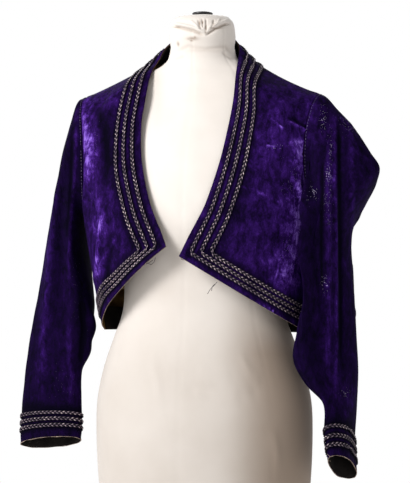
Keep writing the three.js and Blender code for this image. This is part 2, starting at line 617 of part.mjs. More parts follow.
function sleeveRing(cut, table, place, turns) {
  const ring = along(table, place);
  const middle = ring.under.clone().lerp(ring.cap, 0.5);
  const across = ring.cap.clone().sub(middle);
  const free = Math.min(1, place / HEAD_BLEND);
  return turns.map((turn) => {
    const [c, s] = [Math.cos(rad(turn)), Math.sin(rad(turn))];
    const point = middle.clone().addScaledVector(across, c);
    const [reach, sway] = s > 0 ? [ring.front, ring.tuck] : [ring.back, ring.trail];
    point.add(vec(-sway * s * Math.abs(s), -reach * s, ring.rise * s));
    const hole = armholePoint(cut, turn).add(vec(2 * SEAM_GAP + HEAD_STEP * place, 0, 0));
    const blended = hole.lerp(point, free * free * (3 - 2 * free));
    let lift = 0;
    for (const fold of SLEEVE_FOLDS[cut.name]) {
      if (place < fold.from || place > fold.to) continue;
      const way = (place - fold.from) / (fold.to - fold.from);
      const away = Math.abs(turn - lerp(fold.top, fold.low, way));
      const round = hump(Math.min(away, 360 - away), fold.half);
      lift += fold.height * round * Math.sin(Math.PI * way) ** FOLD_FADE;
    }
    const outward = blended.clone().sub(middle).normalize();
    return mirrored(blended.addScaledVector(outward, lift), cut.side);
  });
}

function makeSleeve(cut, table) {
  const turns = sleeveTurns();
  const places = sleevePlaces(cut, table);
  return { grid: places.map((place) => sleeveRing(cut, table, place, turns)), wrap: true };
}

// The cloth is cut back a little on each side of a seam.
function trimEdge(grid, line, inward) {
  line.forEach(([i, j]) => {
    const [r, c] = inward(i, j);
    const step = grid[r][c].clone().sub(grid[i][j]).normalize();
    grid[i][j].addScaledVector(step, SEAM_TRIM);
  });
}

// Both sides of a seam share one normal at each point, so that the walls stay side by side.
function shareNormals(groups) {
  for (const group of groups) {
    const shared = vec(0, 0, 0);
    for (const [piece, i, j] of group) shared.add(piece.normals[i][j]);
    shared.normalize();
    for (const [piece, i, j] of group) piece.normals[i][j].copy(shared);
  }
}

const leftFront = makeFront(LEFT);
const rightFront = makeFront(RIGHT);
const back = makeBack(leftFront, rightFront);
const leftSleeve = makeSleeve(LEFT, LEFT_SLEEVE);
const rightSleeve = makeSleeve(RIGHT, RIGHT_SLEEVE);
const pieces = [leftFront, rightFront, back, leftSleeve, rightSleeve];

const FRONT_TOP = leftFront.grid.length - 1;
const FRONT_SIDE = BRAID_STEPS + FRONT_COLUMNS;
const BACK_LAST = 2 * HALF_BACK_COLUMNS;

// Which points of the pieces meet at each point of a side's seams.
function seamGroups(front, sleeve, backColumn) {
  const groups = [];
  for (let i = 0; i < BACK_UNDERARM; i++)
    groups.push([[front, i, FRONT_SIDE], [back, i, backColumn]]);
  const underarm = ARMHOLE_FRONT_ROWS;
  groups.push([
    [front, BACK_UNDERARM, FRONT_SIDE],
    [back, BACK_UNDERARM, backColumn],
    [sleeve, 0, underarm],
  ]);
  for (let i = 1; i < ARMHOLE_FRONT_ROWS; i++)
    groups.push([[front, BACK_UNDERARM + i, FRONT_SIDE], [sleeve, 0, underarm - i]]);
  for (let i = 1; i < ARMHOLE_BACK_ROWS; i++)
    groups.push([[back, BACK_UNDERARM + i, backColumn], [sleeve, 0, underarm + i]]);
  groups.push([[front, FRONT_TOP, FRONT_SIDE], [back, BACK_SHOULDER, backColumn], [sleeve, 0, 0]]);
  for (let j = 0; j < FRONT_SIDE; j++)
    groups.push([[front, FRONT_TOP, j], [back, BACK_NECK - j, backColumn]]);
  return groups;
}

for (const piece of pieces) piece.normals = gridNormals(piece.grid, piece.wrap);
shareNormals([
  ...seamGroups(leftFront, leftSleeve, BACK_LAST),
  ...seamGroups(rightFront, rightSleeve, 0),
]);

for (const front of [leftFront, rightFront]) {
  const shoulder = front.grid[FRONT_TOP].map((_, j) => [FRONT_TOP, j]);
  trimEdge(front.grid, shoulder, (i, j) => [i - 1, j]);
  const side = front.grid.slice(0, BACK_UNDERARM + 1).map((_, i) => [i, FRONT_SIDE]);
  trimEdge(front.grid, side, (i, j) => [i, j - 1]);
}
for (const [column, inner] of [[0, 1], [BACK_LAST, BACK_LAST - 1]]) {
  const side = back.grid.slice(0, BACK_UNDERARM + 1).map((_, i) => [i, column]);
  const shoulder = back.grid.slice(BACK_SHOULDER).map((_, i) => [BACK_SHOULDER + i, column]);
  trimEdge(back.grid, [...side, ...shoulder], (i) => [i, inner]);
}

addForm();
addPoleCap();
addCloth("front_left", leftFront);
addCloth("front_right", rightFront);
addCloth("back", back);
addCloth("sleeve_left", leftSleeve);
addCloth("sleeve_right", rightSleeve);

// Three rows of braid follow the edges all the way round: up each front edge and round the neck,
// round the hem, and round each wrist.
for (let row = 0; row < FRONT_BRAIDS.length; row++) {
  const line = 2 * row + 1; // the grid line where this braid starts
  const number = row + 1;
  for (const [cut, front] of [[LEFT, leftFront], [RIGHT, rightFront]]) {
    const cells = [
      ...cellsBetween(line, FRONT_TOP, line, line + 1),
      ...cellsBetween(line, line + 1, line + 1, FRONT_SIDE),
    ];
    addBraid(`braid_front_${cut.name}_${number}`, front, cells);
  }
  const hem = cellsBetween(line, line + 1, 0, BACK_LAST);
  addBraid(`braid_back_hem_${number}`, back, hem);
  const neckLine = BACK_NECK - line - 1;
  const neck = cellsBetween(neckLine, neckLine + 1, 0, BACK_LAST);
  addBraid(`braid_back_neck_${number}`, back, neck);
  for (const [cut, sleeve] of [[LEFT, leftSleeve], [RIGHT, rightSleeve]]) {
    const ring = sleeve.grid.length - 1 - line - 1;
    const cells = cellsBetween(ring, ring + 1, 0, sleeve.grid[0].length);
    addBraid(`braid_cuff_${cut.name}_${number}`, sleeve, cells);
  }
}

// The inside, where it shows: a brown lining and a black hem facing in the back, a black facing
// round the back of the neck, and a black facing in each wrist.
const everySecond = (from, to) => {
  const lines = [];
  for (let k = from; k < to; k += 2) lines.push(k);
  return [...lines, to];
};
const backColumns = everySecond(0, BACK_LAST);
addInnerLayer("hem_facing", back, everySecond(0, BRAID_STEPS), backColumns, darkCotton());
const liningRows = [BRAID_STEPS + 1, BRAID_STEPS + 3, BACK_UNDERARM, BACK_UNDERARM + 3];
addInnerLayer("back_lining", back, liningRows, backColumns, brownLining());
const neckRows = everySecond(BACK_NECK_BRAIDS, BACK_NECK);
addInnerLayer("neck_facing", back, neckRows, backColumns, darkCotton());
for (const [cut, sleeve] of [[LEFT, leftSleeve], [RIGHT, rightSleeve]]) {
  const last = sleeve.grid.length - 1;
  const rings = [last - 4, last - 2, last];
  const turns = everySecond(0, sleeve.grid[0].length - 2);
  addInnerLayer(`cuff_facing_${cut.name}`, sleeve, rings, turns, darkCotton());
}

export default part;
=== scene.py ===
"""A short purple velvet bolero jacket, open at the front, worn on a limbless dress form."""
import math

import bpy
import numpy as np
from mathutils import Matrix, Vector


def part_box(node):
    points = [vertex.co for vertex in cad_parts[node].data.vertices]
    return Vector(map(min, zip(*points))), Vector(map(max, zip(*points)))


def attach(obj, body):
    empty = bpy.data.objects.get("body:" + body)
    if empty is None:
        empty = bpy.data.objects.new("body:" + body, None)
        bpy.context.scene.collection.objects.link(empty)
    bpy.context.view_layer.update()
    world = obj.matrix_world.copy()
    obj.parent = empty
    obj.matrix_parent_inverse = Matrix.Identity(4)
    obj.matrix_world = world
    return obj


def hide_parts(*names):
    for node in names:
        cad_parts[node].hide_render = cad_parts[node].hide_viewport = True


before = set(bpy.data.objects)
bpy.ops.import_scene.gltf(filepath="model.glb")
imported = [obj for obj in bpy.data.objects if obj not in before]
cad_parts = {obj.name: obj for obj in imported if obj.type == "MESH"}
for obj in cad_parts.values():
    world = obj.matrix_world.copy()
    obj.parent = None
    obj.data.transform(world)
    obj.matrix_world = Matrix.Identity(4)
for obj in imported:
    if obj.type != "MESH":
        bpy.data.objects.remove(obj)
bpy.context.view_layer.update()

# The camera: level with the waist of the jacket, 20 degrees round to the wearer's left.
scene = bpy.context.scene
AZIMUTH = math.radians(20)
DISTANCE = 3.0
EYE_HEIGHT = 0.5016
PICTURE_HEIGHT = 483
BACKWARD = np.array([math.sin(AZIMUTH), -math.cos(AZIMUTH), 0.0])
ACROSS = np.array([math.cos(AZIMUTH), math.sin(AZIMUTH), 0.0])
camera_data = bpy.data.cameras.new("camera")
camera_data.sensor_fit = "VERTICAL"
camera_data.sensor_height = 36
camera_data.lens = 139.75
camera_data.shift_x = 1.5 / PICTURE_HEIGHT
camera = bpy.data.objects.new("camera", camera_data)
camera.location = Vector(BACKWARD * DISTANCE) + Vector((0, 0, EYE_HEIGHT))
camera.rotation_euler = (math.pi / 2, 0, AZIMUTH)
scene.collection.objects.link(camera)
scene.camera = camera

# The floor and the soft studio light: a pale round board, a key light from the left, a softer one
# from behind, and white all round.
def plain_material(name, colour, roughness):
    material = bpy.data.materials.new(name)
    material.use_nodes = True
    shader = material.node_tree.nodes["Principled BSDF"]
    shader.inputs["Base Color"].default_value = (*colour, 1)
    shader.inputs["Roughness"].default_value = roughness
    return material


def add_mesh(name, points, faces, material, values=None):
    """A mesh object from arrays, with one number a vertex in each of its named values."""
    mesh = bpy.data.meshes.new(name)
    mesh.vertices.add(len(points))
    mesh.vertices.foreach_set("co", np.asarray(points, np.float32).ravel())
    sizes = [len(f) for f in faces]
    mesh.loops.add(sum(sizes))
    mesh.loops.foreach_set("vertex_index", np.concatenate([np.asarray(f, np.int32) for f in faces]))
    mesh.polygons.add(len(faces))
    mesh.polygons.foreach_set("loop_start", np.concatenate([[0], np.cumsum(sizes)[:-1]]).astype(np.int32))
    mesh.polygons.foreach_set("loop_total", np.array(sizes, np.int32))
    mesh.update(calc_edges=True)
    mesh.validate()
    mesh.materials.append(material)
    mesh.shade_smooth()
    for key, numbers in (values or {}).items():
        layer = mesh.attributes.new(key, "FLOAT", "POINT")
        layer.data.foreach_set("value", np.asarray(numbers, np.float32))
    made = bpy.data.objects.new(name, mesh)
    scene.collection.objects.link(made)
    return made


def add_area_light(name, azimuth, elevation, distance, size, power):
    data = bpy.data.lights.new(name, "AREA")
    data.size = size
    data.energy = power
    light = bpy.data.objects.new(name, data)
    turn, lift = math.radians(azimuth), math.radians(elevation)
    toward = Vector((math.sin(turn) * math.cos(lift), -math.cos(turn) * math.cos(lift), math.sin(lift)))
    light.location = toward * distance + Vector((0, 0, 0.5))
    light.rotation_euler = toward.to_track_quat("Z", "Y").to_euler()
    scene.collection.objects.link(light)


def link(tree, output, input_socket):
    tree.links.new(output, input_socket)


def ramp(tree, factor, *stops):
    node = tree.nodes.new("ShaderNodeValToRGB")
    elements = node.color_ramp.elements
    for k, (place, colour) in enumerate(stops):
        element = elements[k] if k < 2 else elements.new(place)
        element.position = place
        element.color = (*colour, 1)
    link(tree, factor, node.inputs["Fac"])
    return node.outputs["Color"]


FLOOR_RADIUS = 0.85
FLOOR_SIDES = 96
turns = [2 * math.pi * k / FLOOR_SIDES for k in range(FLOOR_SIDES)]
ring = [(FLOOR_RADIUS * math.cos(t), FLOOR_RADIUS * math.sin(t), -0.0005) for t in turns]
floor_material = plain_material("floor_white", (0.86, 0.86, 0.86), 0.8)
floor = add_mesh("floor", ring, [range(FLOOR_SIDES)], floor_material)
world = bpy.data.worlds.new("studio")
world.use_nodes = True
sky = world.node_tree
# White all round, and dimmer overhead, as in a room with white walls.
direction = sky.nodes.new("ShaderNodeTexCoord").outputs["Generated"]
parts = sky.nodes.new("ShaderNodeSeparateXYZ")
link(sky, direction, parts.inputs[0])
overhead = ramp(sky, parts.outputs["Z"], (0.3, (1, 1, 1)), (0.7, (0.08, 0.08, 0.08)))
link(sky, overhead, sky.nodes["Background"].inputs["Color"])
scene.world = world
scene.view_settings.view_transform = "Standard"
add_area_light("key", azimuth=-34, elevation=30, distance=2.4, size=0.9, power=60)
add_area_light("rear", azimuth=200, elevation=40, distance=2.6, size=1.6, power=36)


# The form's cover: unbleached cotton stretched over a padded body, sewn in panels and gathered
# under the knob at the top of the neck.
LONGEST_ROW = 400  # squares, which ends a walk that doesn't close


def triangles_by_edge(triangles):
    edges = {}
    for t in triangles:
        for k in range(3):
            edges.setdefault(frozenset((t[k], t[(k + 1) % 3])), []).append(t)
    return edges


def layers_of(node, thickness):
    """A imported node's points and its outer layer's triangles, or all of them without a thickness."""
    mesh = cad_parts[node].data
    mesh.calc_loop_triangles()
    rough = np.array([v.co for v in mesh.vertices], float)
    keys = {}
    merged = np.array([keys.setdefault(tuple(np.round(p * 1e5).astype(int)), len(keys)) for p in rough])
    points = np.zeros((len(keys), 3))
    points[merged] = rough
    triangles = [tuple(merged[i] for i in t.vertices) for t in mesh.loop_triangles]
    triangles = [t for t in triangles if len(set(t)) == 3]
    if thickness is None:
        return points, triangles
    gaps = np.linalg.norm(points[:, None] - points[None], axis=2)
    partner = np.abs(gaps - thickness).argmin(axis=1)
    flat = [t for t in triangles if not any(partner[i] in t for i in t)]
    near = {}
    for pair in triangles_by_edge(flat).values():
        for t in pair:
            near.setdefault(t, set()).update(pair)
    shells, left = [], set(flat)
    while left:
        found, queue = set(), [min(left)]
        while queue:
            t = queue.pop()
            if t in found:
                continue
            found.add(t)
            queue.extend(near[t] - found)
        shells.append(found)
        left -= found
    outward = []
    for shell in shells:
        total = 0.0
        for a, b, c in shell:
            normal = np.cross(points[b] - points[a], points[c] - points[a])
            total += normal @ (points[a] - points[partner[a]])
        outward.append(total)
    return points, sorted(shells[int(np.argmax(outward))])


def grid_of(points, triangles):
    """Puts triangulated squares back in rows, as (rows, columns, 3), and says if they close in a ring."""
    third = {}
    for a, b, c in triangles:
        third[a, b], third[b, c], third[c, a] = c, a, b

    def beside(square, way):
        p, q, r, s = square
        if way == "right":
            r2 = third.get((r, q))
            return None if r2 is None else (q, third.get((r2, q)), r2, r)
        if way == "left":
            p2 = third.get((p, s))
            return None if p2 is None else (p2, p, s, third.get((p2, s)))
        if way == "up":
            r2 = third.get((s, r))
            return None if r2 is None else (s, r, r2, third.get((s, r2)))
        p2 = third.get((q, p))
        return None if p2 is None else (p2, third.get((q, p2)), q, p)

    def walk(square, way):
        line = [square]
        while True:
            following = beside(line[-1], way)
            if following is None or None in following or following == line[0]:
                return line, following == line[0]
            if len(line) > LONGEST_ROW:
                return line, False
            line.append(following)

    for first in triangles:
        for turn in range(3):
            p, q, r = first[turn:] + first[:turn]
            s = third.get((p, r))
            if s is None:
                continue
            corner = (p, q, r, s)
            ring = walk(corner, "right")[1]
            if not ring and walk(corner, "up")[1]:
                continue
            if ring:
                start = walk(corner, "down")[0][-1]
            else:
                start = walk(walk(corner, "left")[0][-1], "down")[0][-1]
                start = walk(start, "left")[0][-1]
            rows = []
            for square in walk(start, "up")[0]:
                rows.append(walk(square, "right")[0])
            counts = {len(row) for row in rows}
            if len(counts) != 1 or 2 * len(rows) * len(rows[0]) != len(triangles):
                continue
            lines = [[square[0] for square in row] + ([] if ring else [row[-1][1]]) for row in rows]
            last = rows[-1]
            lines.append([square[3] for square in last] + ([] if ring else [last[-1][2]]))
            return points[np.array(lines)], ring
    raise RuntimeError("the packed mesh is not in rows of squares")


def finer(grid, rows, columns, ring):
    """A smooth surface through a grid's points, with each square cut in rows x columns."""

    def along_first(g, steps, closed):
        n = len(g)
        if steps == 1:
            return g
        if closed:
            g = np.concatenate([g[-1:], g, g[:2]])
            spans = n
        else:
            g = np.concatenate([2 * g[:1] - g[1:2], g, 2 * g[-1:] - g[-2:-1]])
            spans = n - 1
        before, start, end, after = (g[k : k + spans, None] for k in range(4))
        t = (np.arange(steps) / steps).reshape(1, steps, *([1] * (g.ndim - 1)))

        def span(a, b):
            return np.linalg.norm(b - a, axis=-1, keepdims=True) ** 0.5 + 1e-9

        d0, d1, d2 = span(before, start), span(start, end), span(end, after)
        m1 = (start - before) / d0 - (end - before) / (d0 + d1) + (end - start) / d1
        m2 = (end - start) / d1 - (after - start) / (d1 + d2) + (after - end) / d2
        m1, m2 = m1 * d1, m2 * d1
        fine = (
            (2 * t**3 - 3 * t**2 + 1) * start
            + (t**3 - 2 * t**2 + t) * m1
            + (-2 * t**3 + 3 * t**2) * end
            + (t**3 - t**2) * m2
        )
        fine = fine.reshape(spans * steps, *g.shape[1:])
        return fine if closed else np.concatenate([fine, g[-2:-1]])

    fine = along_first(grid, rows, False)
    fine = along_first(fine.swapaxes(0, 1), columns, ring).swapaxes(0, 1)
    return fine


def normals_of(grid, ring):
    """Unit normals of a grid, on the side that its rows and columns turn to."""
    down = np.gradient(grid, axis=0)
    if ring:
        wide = np.concatenate([grid[:, -1:], grid, grid[:, :1]], axis=1)
        side = np.gradient(wide, axis=1)[:, 1:-1]
    else:
        side = np.gradient(grid, axis=1)
    normal = np.cross(side, down)
    return normal / (np.linalg.norm(normal, axis=2, keepdims=True) + 1e-12)


def faces_of(rows, columns, ring, offset=0, flip=False):
    """Square faces over a grid of points, listed row by row."""
    i, j = np.meshgrid(np.arange(rows - 1), np.arange(columns if ring else columns - 1), indexing="ij")
    k = (j + 1) % columns
    faces = np.stack([i * columns + j, i * columns + k, (i + 1) * columns + k, (i + 1) * columns + j], -1)
    faces = faces.reshape(-1, 4) + offset
    return faces[:, ::-1] if flip else faces


def closed_at_ends(grid):
    """The points and faces of a grid of rings, closed to a point at each end."""
    rows, columns = grid.shape[:2]
    points = np.concatenate([grid.reshape(-1, 3), [grid[0].mean(0)], [grid[-1].mean(0)]])
    faces = list(faces_of(rows, columns, True))
    low, top = rows * columns, (rows - 1) * columns
    faces += [(low, (k + 1) % columns, k) for k in range(columns)]
    faces += [(low + 1, top + k, top + (k + 1) % columns) for k in range(columns)]
    return points, faces


def as_seen(points):
    """Where points are seen by the camera, in mm across and up at the form's middle."""
    millimetres = points * 1000
    shrink = DISTANCE * 1000 / (DISTANCE * 1000 - millimetres @ BACKWARD)
    across = (millimetres @ ACROSS) * shrink
    up = EYE_HEIGHT * 1000 + (millimetres[..., 2] - EYE_HEIGHT * 1000) * shrink
    return np.stack([across, up], -1)


def from_line(seen, line):
    """How far each seen point is from a line of points, and where along it, 0 to 1."""
    line = np.array(line, float)
    lengths = np.linalg.norm(np.diff(line, axis=0), axis=1)
    ends = np.concatenate([[0], np.cumsum(lengths)])
    best = np.full(seen.shape[:-1], 1e9)
    place = np.zeros(seen.shape[:-1])
    for a, b, length, done in zip(line[:-1], line[1:], lengths, ends):
        way = (b - a) / length
        offset = seen - a
        t = np.clip(offset @ way, 0, length)
        gap = offset - t[..., None] * way
        distance = np.linalg.norm(gap, axis=-1)
        nearer = distance < best
        best = np.where(nearer, distance, best)
        place = np.where(nearer, (done + t) / ends[-1], place)
    return best, place


def fold_at(seen, line, half_width, end_pace):
    """1 on a line, fading out over a half width and, at that pace, toward its two ends."""
    away, place = from_line(seen, line)
    ends = np.clip(np.minimum(place, 1 - place) * end_pace, 0, 1)
    return np.exp(-((away / half_width) ** 2)) * ends


def noise(tree, coordinates, scale, detail=3.0, distortion=0.0, roughness=0.5):
    node = tree.nodes.new("ShaderNodeTexNoise")
    node.inputs["Scale"].default_value = scale
    node.inputs["Detail"].default_value = detail
    node.inputs["Roughness"].default_value = roughness
    node.inputs["Distortion"].default_value = distortion
    link(tree, coordinates, node.inputs["Vector"])
    return node.outputs["Fac"]


def calculate(tree, operation, a, b, clamp=False):
    node = tree.nodes.new("ShaderNodeMath")
    node.operation = operation
    node.use_clamp = clamp
    for k, value in enumerate((a, b)):
        if isinstance(value, (int, float)):
            node.inputs[k].default_value = value
        else:
            link(tree, value, node.inputs[k])
    return node.outputs[0]


def bump(tree, height, strength, distance):
    node = tree.nodes.new("ShaderNodeBump")
    node.inputs["Strength"].default_value = strength
    node.inputs["Distance"].default_value = distance
    link(tree, height, node.inputs["Height"])
    return node.outputs["Normal"]


def new_material(name, roughness, **uniform):
    material = plain_material(name, (0.5, 0.5, 0.5), roughness)
    tree = material.node_tree
    shader = tree.nodes["Principled BSDF"]
    for key, value in uniform.items():
        shader.inputs[key.replace("_", " ")].default_value = value
    coordinates = tree.nodes.new("ShaderNodeTexCoord").outputs["Object"]
    return material, tree, shader, coordinates


def attribute(tree, name):
    node = tree.nodes.new("ShaderNodeAttribute")
    node.attribute_name = name
    return node.outputs["Fac"]


def mix_colours(tree, factor, first, second, way="MIX"):
    node = tree.nodes.new("ShaderNodeMix")
    node.data_type = "RGBA"
    node.blend_type = way
    for socket, value in (("Factor", factor), ("A", first), ("B", second)):
        if isinstance(value, float):
            node.inputs[socket].default_value = value
        elif isinstance(value, tuple):
            node.inputs[socket].default_value = (*value, 1)
        else:
            link(tree, value, node.inputs[socket])
    return node.outputs["Result"]


cotton, tree, shader, coordinates = new_material("calico", 0.85, Sheen_Weight=0.15, Sheen_Roughness=0.5)
weave = noise(tree, coordinates, 900, 2)
patches = noise(tree, coordinates, 9, 4)
tint = ramp(tree, patches, (0.3, (0.63, 0.575, 0.525)), (0.7, (0.70, 0.65, 0.605)))
upright = tree.nodes.new("ShaderNodeSeparateXYZ")
link(tree, coordinates, upright.inputs[0])
# Painted shade: the cover darker towards the bottom, where less light reaches.
low_shade = ramp(tree, upright.outputs["Z"], (0.3, (0.84, 0.825, 0.81)), (0.52, (1, 1, 1)))
cover_colour = mix_colours(tree, 1.0, tint, low_shade, "MULTIPLY")
# Real stains and painted shade, both marked on the cover below, share this brown.
stained_and_shaded = mix_colours(tree, attribute(tree, "stain"), cover_colour, (0.19, 0.12, 0.07))
link(tree, stained_and_shaded, shader.inputs["Base Color"])
link(tree, bump(tree, weave, 0.25, 0.0004), shader.inputs["Normal"])

SEEN_SCALE = 1.6  # mm at the form's middle for each dot of the picture
FORM_DOT, GROUND_DOT = 203.5, 555  # the form's middle and its underside on the picture


def seen_points(*dots):
    """Points given across and down on the picture, as mm across and up."""
    return [((x - FORM_DOT) * SEEN_SCALE, (GROUND_DOT - y) * SEEN_SCALE) for x, y in dots]


def mark_at(seen, x, y, half_width, half_height):
    """1 at a dot of the picture, fading out over a half width and a half height in dots."""
    (across, up), = seen_points((x, y))
    spread = ((seen[..., 0] - across) / (half_width * SEEN_SCALE)) ** 2
    spread += ((seen[..., 1] - up) / (half_height * SEEN_SCALE)) ** 2
    return np.exp(-spread)


# Folds of the cover, as seen: the line of each, its half width and its height in mm.
FORM_CREASES = [
    ([(172, 26), (182, 28), (194, 31), (205, 36)], 2.2, -2.2),
    ([(172, 23), (183, 25), (196, 28), (205, 33)], 2.4, 1.6),
    ([(231, 23), (224, 25), (215, 29), (205, 36)], 1.7, -2.6),
    ([(229, 20), (222, 22), (213, 25), (206, 31)], 2.4, 1.6),
    ([(198, 19), (199, 24), (201, 30)], 1.2, -1.8),
    ([(202, 18), (202.5, 22), (203, 28)], 1.2, -1.8),
    ([(206, 18), (206, 24), (206, 32)], 1.2, -2.0),
    ([(214, 19), (213, 24), (211, 28)], 1.2, -1.6),
    ([(220, 18), (217, 23), (212, 28)], 1.4, 1.0),
    ([(190, 20), (195, 24), (200, 29)], 1.4, 1.0),
    ([(172, 52), (188, 47), (206, 49), (226, 47), (236, 56)], 3.6, -1.0),
    ([(166, 66), (176, 60), (186, 56)], 3.0, -0.6),
    ([(222, 52), (230, 58), (236, 60)], 2.4, -0.8),
    ([(180, 385), (196, 394), (214, 400), (236, 402)], 3.8, -1.5),
    ([(236, 400), (252, 394), (264, 384)], 3.8, -1.5),
    ([(150, 424), (160, 427), (170, 426)], 3.2, 1.4),
    ([(196, 372), (212, 376), (232, 374)], 5.0, 1.3),
    ([(240, 355), (250, 372), (262, 382)], 4.0, 1.2),
    ([(150, 350), (158, 380), (160, 410)], 6.0, 1.1),
    ([(270, 430), (276, 445), (280, 470)], 6.0, 1.3),
]
# Marks on the cover, real stains and painted shade together: middle, half width, half height and strength.
FORM_STAINS_AND_SHADE = [
    (193, 38.5, 5.5, 1.8, 0.7),
    (195, 37.4, 1.4, 1.2, 0.85),
    (191.5, 40.5, 1.6, 1.0, 0.8),
    (188.5, 39, 1.2, 0.8, 0.6),
    (178, 44, 1.2, 2.4, 0.7),
    (177, 27, 4.0, 1.0, 0.8),
    # The next five: painted shade in the slits between the gathers at the neck.
    (199.5, 23, 0.9, 3.0, 1.0),
    (202.5, 22, 0.8, 2.0, 1.0),
    (206, 27.5, 0.8, 3.0, 1.0),
    (205.5, 32.5, 1.0, 1.2, 0.7),
    (213.4, 24, 0.8, 2.0, 0.5),
    (216, 28.2, 6.0, 0.7, 0.8),
    # This one: painted shade under the rolled edge of the neck.
    (206, 50, 26, 2.6, 0.2),
    (210, 384, 18, 5, 0.06),
    (259, 451, 2, 2, 0.18),
    (221, 240, 10, 6, 0.3),
    # The next three: painted shadow on the cover beneath the jacket's hem.
    (162, 288, 28, 20, 0.14),
    (252, 332, 36, 12, 0.13),
    (176, 262, 10, 22, 0.12),
    (158, 88, 5, 36, 0.1),
]
FORM_ROWS, FORM_COLUMNS = 5, 8
NECK_FROM, NECK_ROWS = 0.8, 4  # the gathered neck is cut finer again, from that height up
FOLD_STRENGTH = 1.5
SIDE_SHADE, SIDE_SHADE_MIDDLE, SIDE_SHADE_REACH = 0.76, 85, 41  # painted shade on the side away from the key light: strength, middle and reach in degrees round
FOLD_SHADE = 0.14  # painted shade for each mm that a fold sinks in
SEAM_ANGLES = (-180, -118, -62, 0, 62, 118)
SEAM_DEPTH, SEAM_HALF_WIDTH, SEAM_TOP, GATHERS_TOP = 0.5, 1.6, 838, 861  # mm
END_POINT_TRIANGLES = 12  # more than this many meet only at the form's two end points
points, triangles = layers_of("dress_form", None)
times = np.bincount(np.array(triangles).ravel())
poles = set(np.nonzero(times > END_POINT_TRIANGLES)[0])
body = [t for t in triangles if not poles & set(t)]
form_grid = grid_of(points, body)[0]
if form_grid[0, :, 2].mean() > form_grid[-1, :, 2].mean():
    form_grid = form_grid[::-1]
form = finer(form_grid, FORM_ROWS, FORM_COLUMNS, True)
neck_start = int(np.argmax(form[..., 2].mean(axis=1) > NECK_FROM))
form = np.concatenate([form[:neck_start], finer(form[neck_start:], NECK_ROWS, 1, True)])
form_normals = normals_of(form, True)
middle = form.mean(axis=1, keepdims=True)
if (form_normals * (form - middle)).sum() < 0:
    form_normals = -form_normals
seen = as_seen(form)
angle = np.arctan2(form[..., 0] - middle[..., 0], middle[..., 1] - form[..., 1])
height = form[..., 2] * 1000
lift = np.zeros(height.shape)
for seam_angle in SEAM_ANGLES:
    away = np.abs((np.degrees(angle) - seam_angle + 180) % 360 - 180)
    width = away / 180 * math.pi * np.linalg.norm(form[..., :2] - middle[..., :2], axis=2) * 1000
    lift -= SEAM_DEPTH * np.exp(-((width / SEAM_HALF_WIDTH) ** 2)) * (height < SEAM_TOP)
folds_down = np.zeros(height.shape)
faces_us = form_normals @ BACKWARD > 0.1
for line, width, rise in FORM_CREASES:
    fold = FOLD_STRENGTH * rise * fold_at(seen, seen_points(*line), width, 6) * faces_us
    folds_down = np.maximum(folds_down, -fold)
    lift += fold
# The gathers behind, which the picture hides, then the rolled edge of the neck and the groove under it.
neck_share = np.clip((height - 846) / 12, 0, 1) * ~faces_us
lift += 0.9 * neck_share * np.sin(angle * 26 + 2 * np.sin(angle * 5)) * (height < GATHERS_TOP)
lift += 1.1 * np.exp(-(((height - 826) / 9) ** 2)) - 0.8 * np.exp(-(((height - 812) / 5) ** 2))
# Painted shade in the sunken folds of the neck.
form_stain_and_shade = FOLD_SHADE * folds_down * (height > 790)
for *place_and_size, strength in FORM_STAINS_AND_SHADE:
    mark = strength * mark_at(seen, *place_and_size)
    form_stain_and_shade = np.maximum(form_stain_and_shade, mark * faces_us)
# Painted shade on the cover's side away from the key light, fading out between 330 and 430 mm up.
from_shaded_side = (np.degrees(angle) - SIDE_SHADE_MIDDLE) / SIDE_SHADE_REACH
side_shade = SIDE_SHADE * np.exp(-(from_shaded_side**4)) * np.clip((430 - height) / 100, 0, 1)
form_stain_and_shade = np.maximum(form_stain_and_shade, side_shade)
form = form + form_normals * (lift / 1000)[..., None]
form[..., 2] = np.maximum(form[..., 2], 0)
stain_and_shade_values = np.concatenate([form_stain_and_shade.ravel(), [0, 0]])
form_cover = add_mesh("form_cover", *closed_at_ends(form), cotton, {"stain": stain_and_shade_values})
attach(form_cover, "root")
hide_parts("dress_form")

# The knob on the form's neck: turned wood, painted black and domed on top, screwed down on the
# cover.
paint, tree, shader, coordinates = new_material("black_paint_satin", 0.34)
scuffs = noise(tree, coordinates, 160, 4)
worn_paint = ramp(tree, scuffs, (0.35, (0.006, 0.006, 0.007)), (0.7, (0.022, 0.02, 0.02)))
link(tree, worn_paint, shader.inputs["Base Color"])
link(tree, bump(tree, noise(tree, coordinates, 300, 3), 0.15, 0.0005), shader.inputs["Normal"])
knob_low, knob_high = (np.array(corner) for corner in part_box("pole_cap"))
knob_middle = (knob_low + knob_high) / 2
knob_radius = (knob_high[0] - knob_low[0]) / 2
knob_height = knob_high[2] - knob_low[2]
KNOB_SIDES = 64
KNOB_PROFILE = [
    # share of the radius, share of the height
    (0.93, 0.0),
    (0.98, 0.06),
    (1.0, 0.16),
    (1.03, 0.34),
    (1.04, 0.50),
    (1.0, 0.66),
    (0.90, 0.80),
    (0.72, 0.91),
    (0.48, 0.97),
    (0.2, 1.0),
]
knob_turns = np.arange(KNOB_SIDES) / KNOB_SIDES * 2 * math.pi
out, up = (np.array(share)[:, None] for share in zip(*KNOB_PROFILE))
knob = np.broadcast_arrays(
    knob_middle[0] + out * knob_radius * np.cos(knob_turns),
    knob_middle[1] + out * knob_radius * np.sin(knob_turns),
    knob_low[2] + up * knob_height,
)
knob_piece = add_mesh("neck_knob", *closed_at_ends(np.stack(knob, -1)), paint)
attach(knob_piece, "root")
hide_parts("pole_cap")


# The velvet: two fronts, a back and two sleeves, cut from crushed cotton velvet and sewn at the
# shoulders, sides and armholes. Its colour carries painted highlights in patches that shine violet,
# and painted shade where it stays nearly black.
PILE = 0.0016
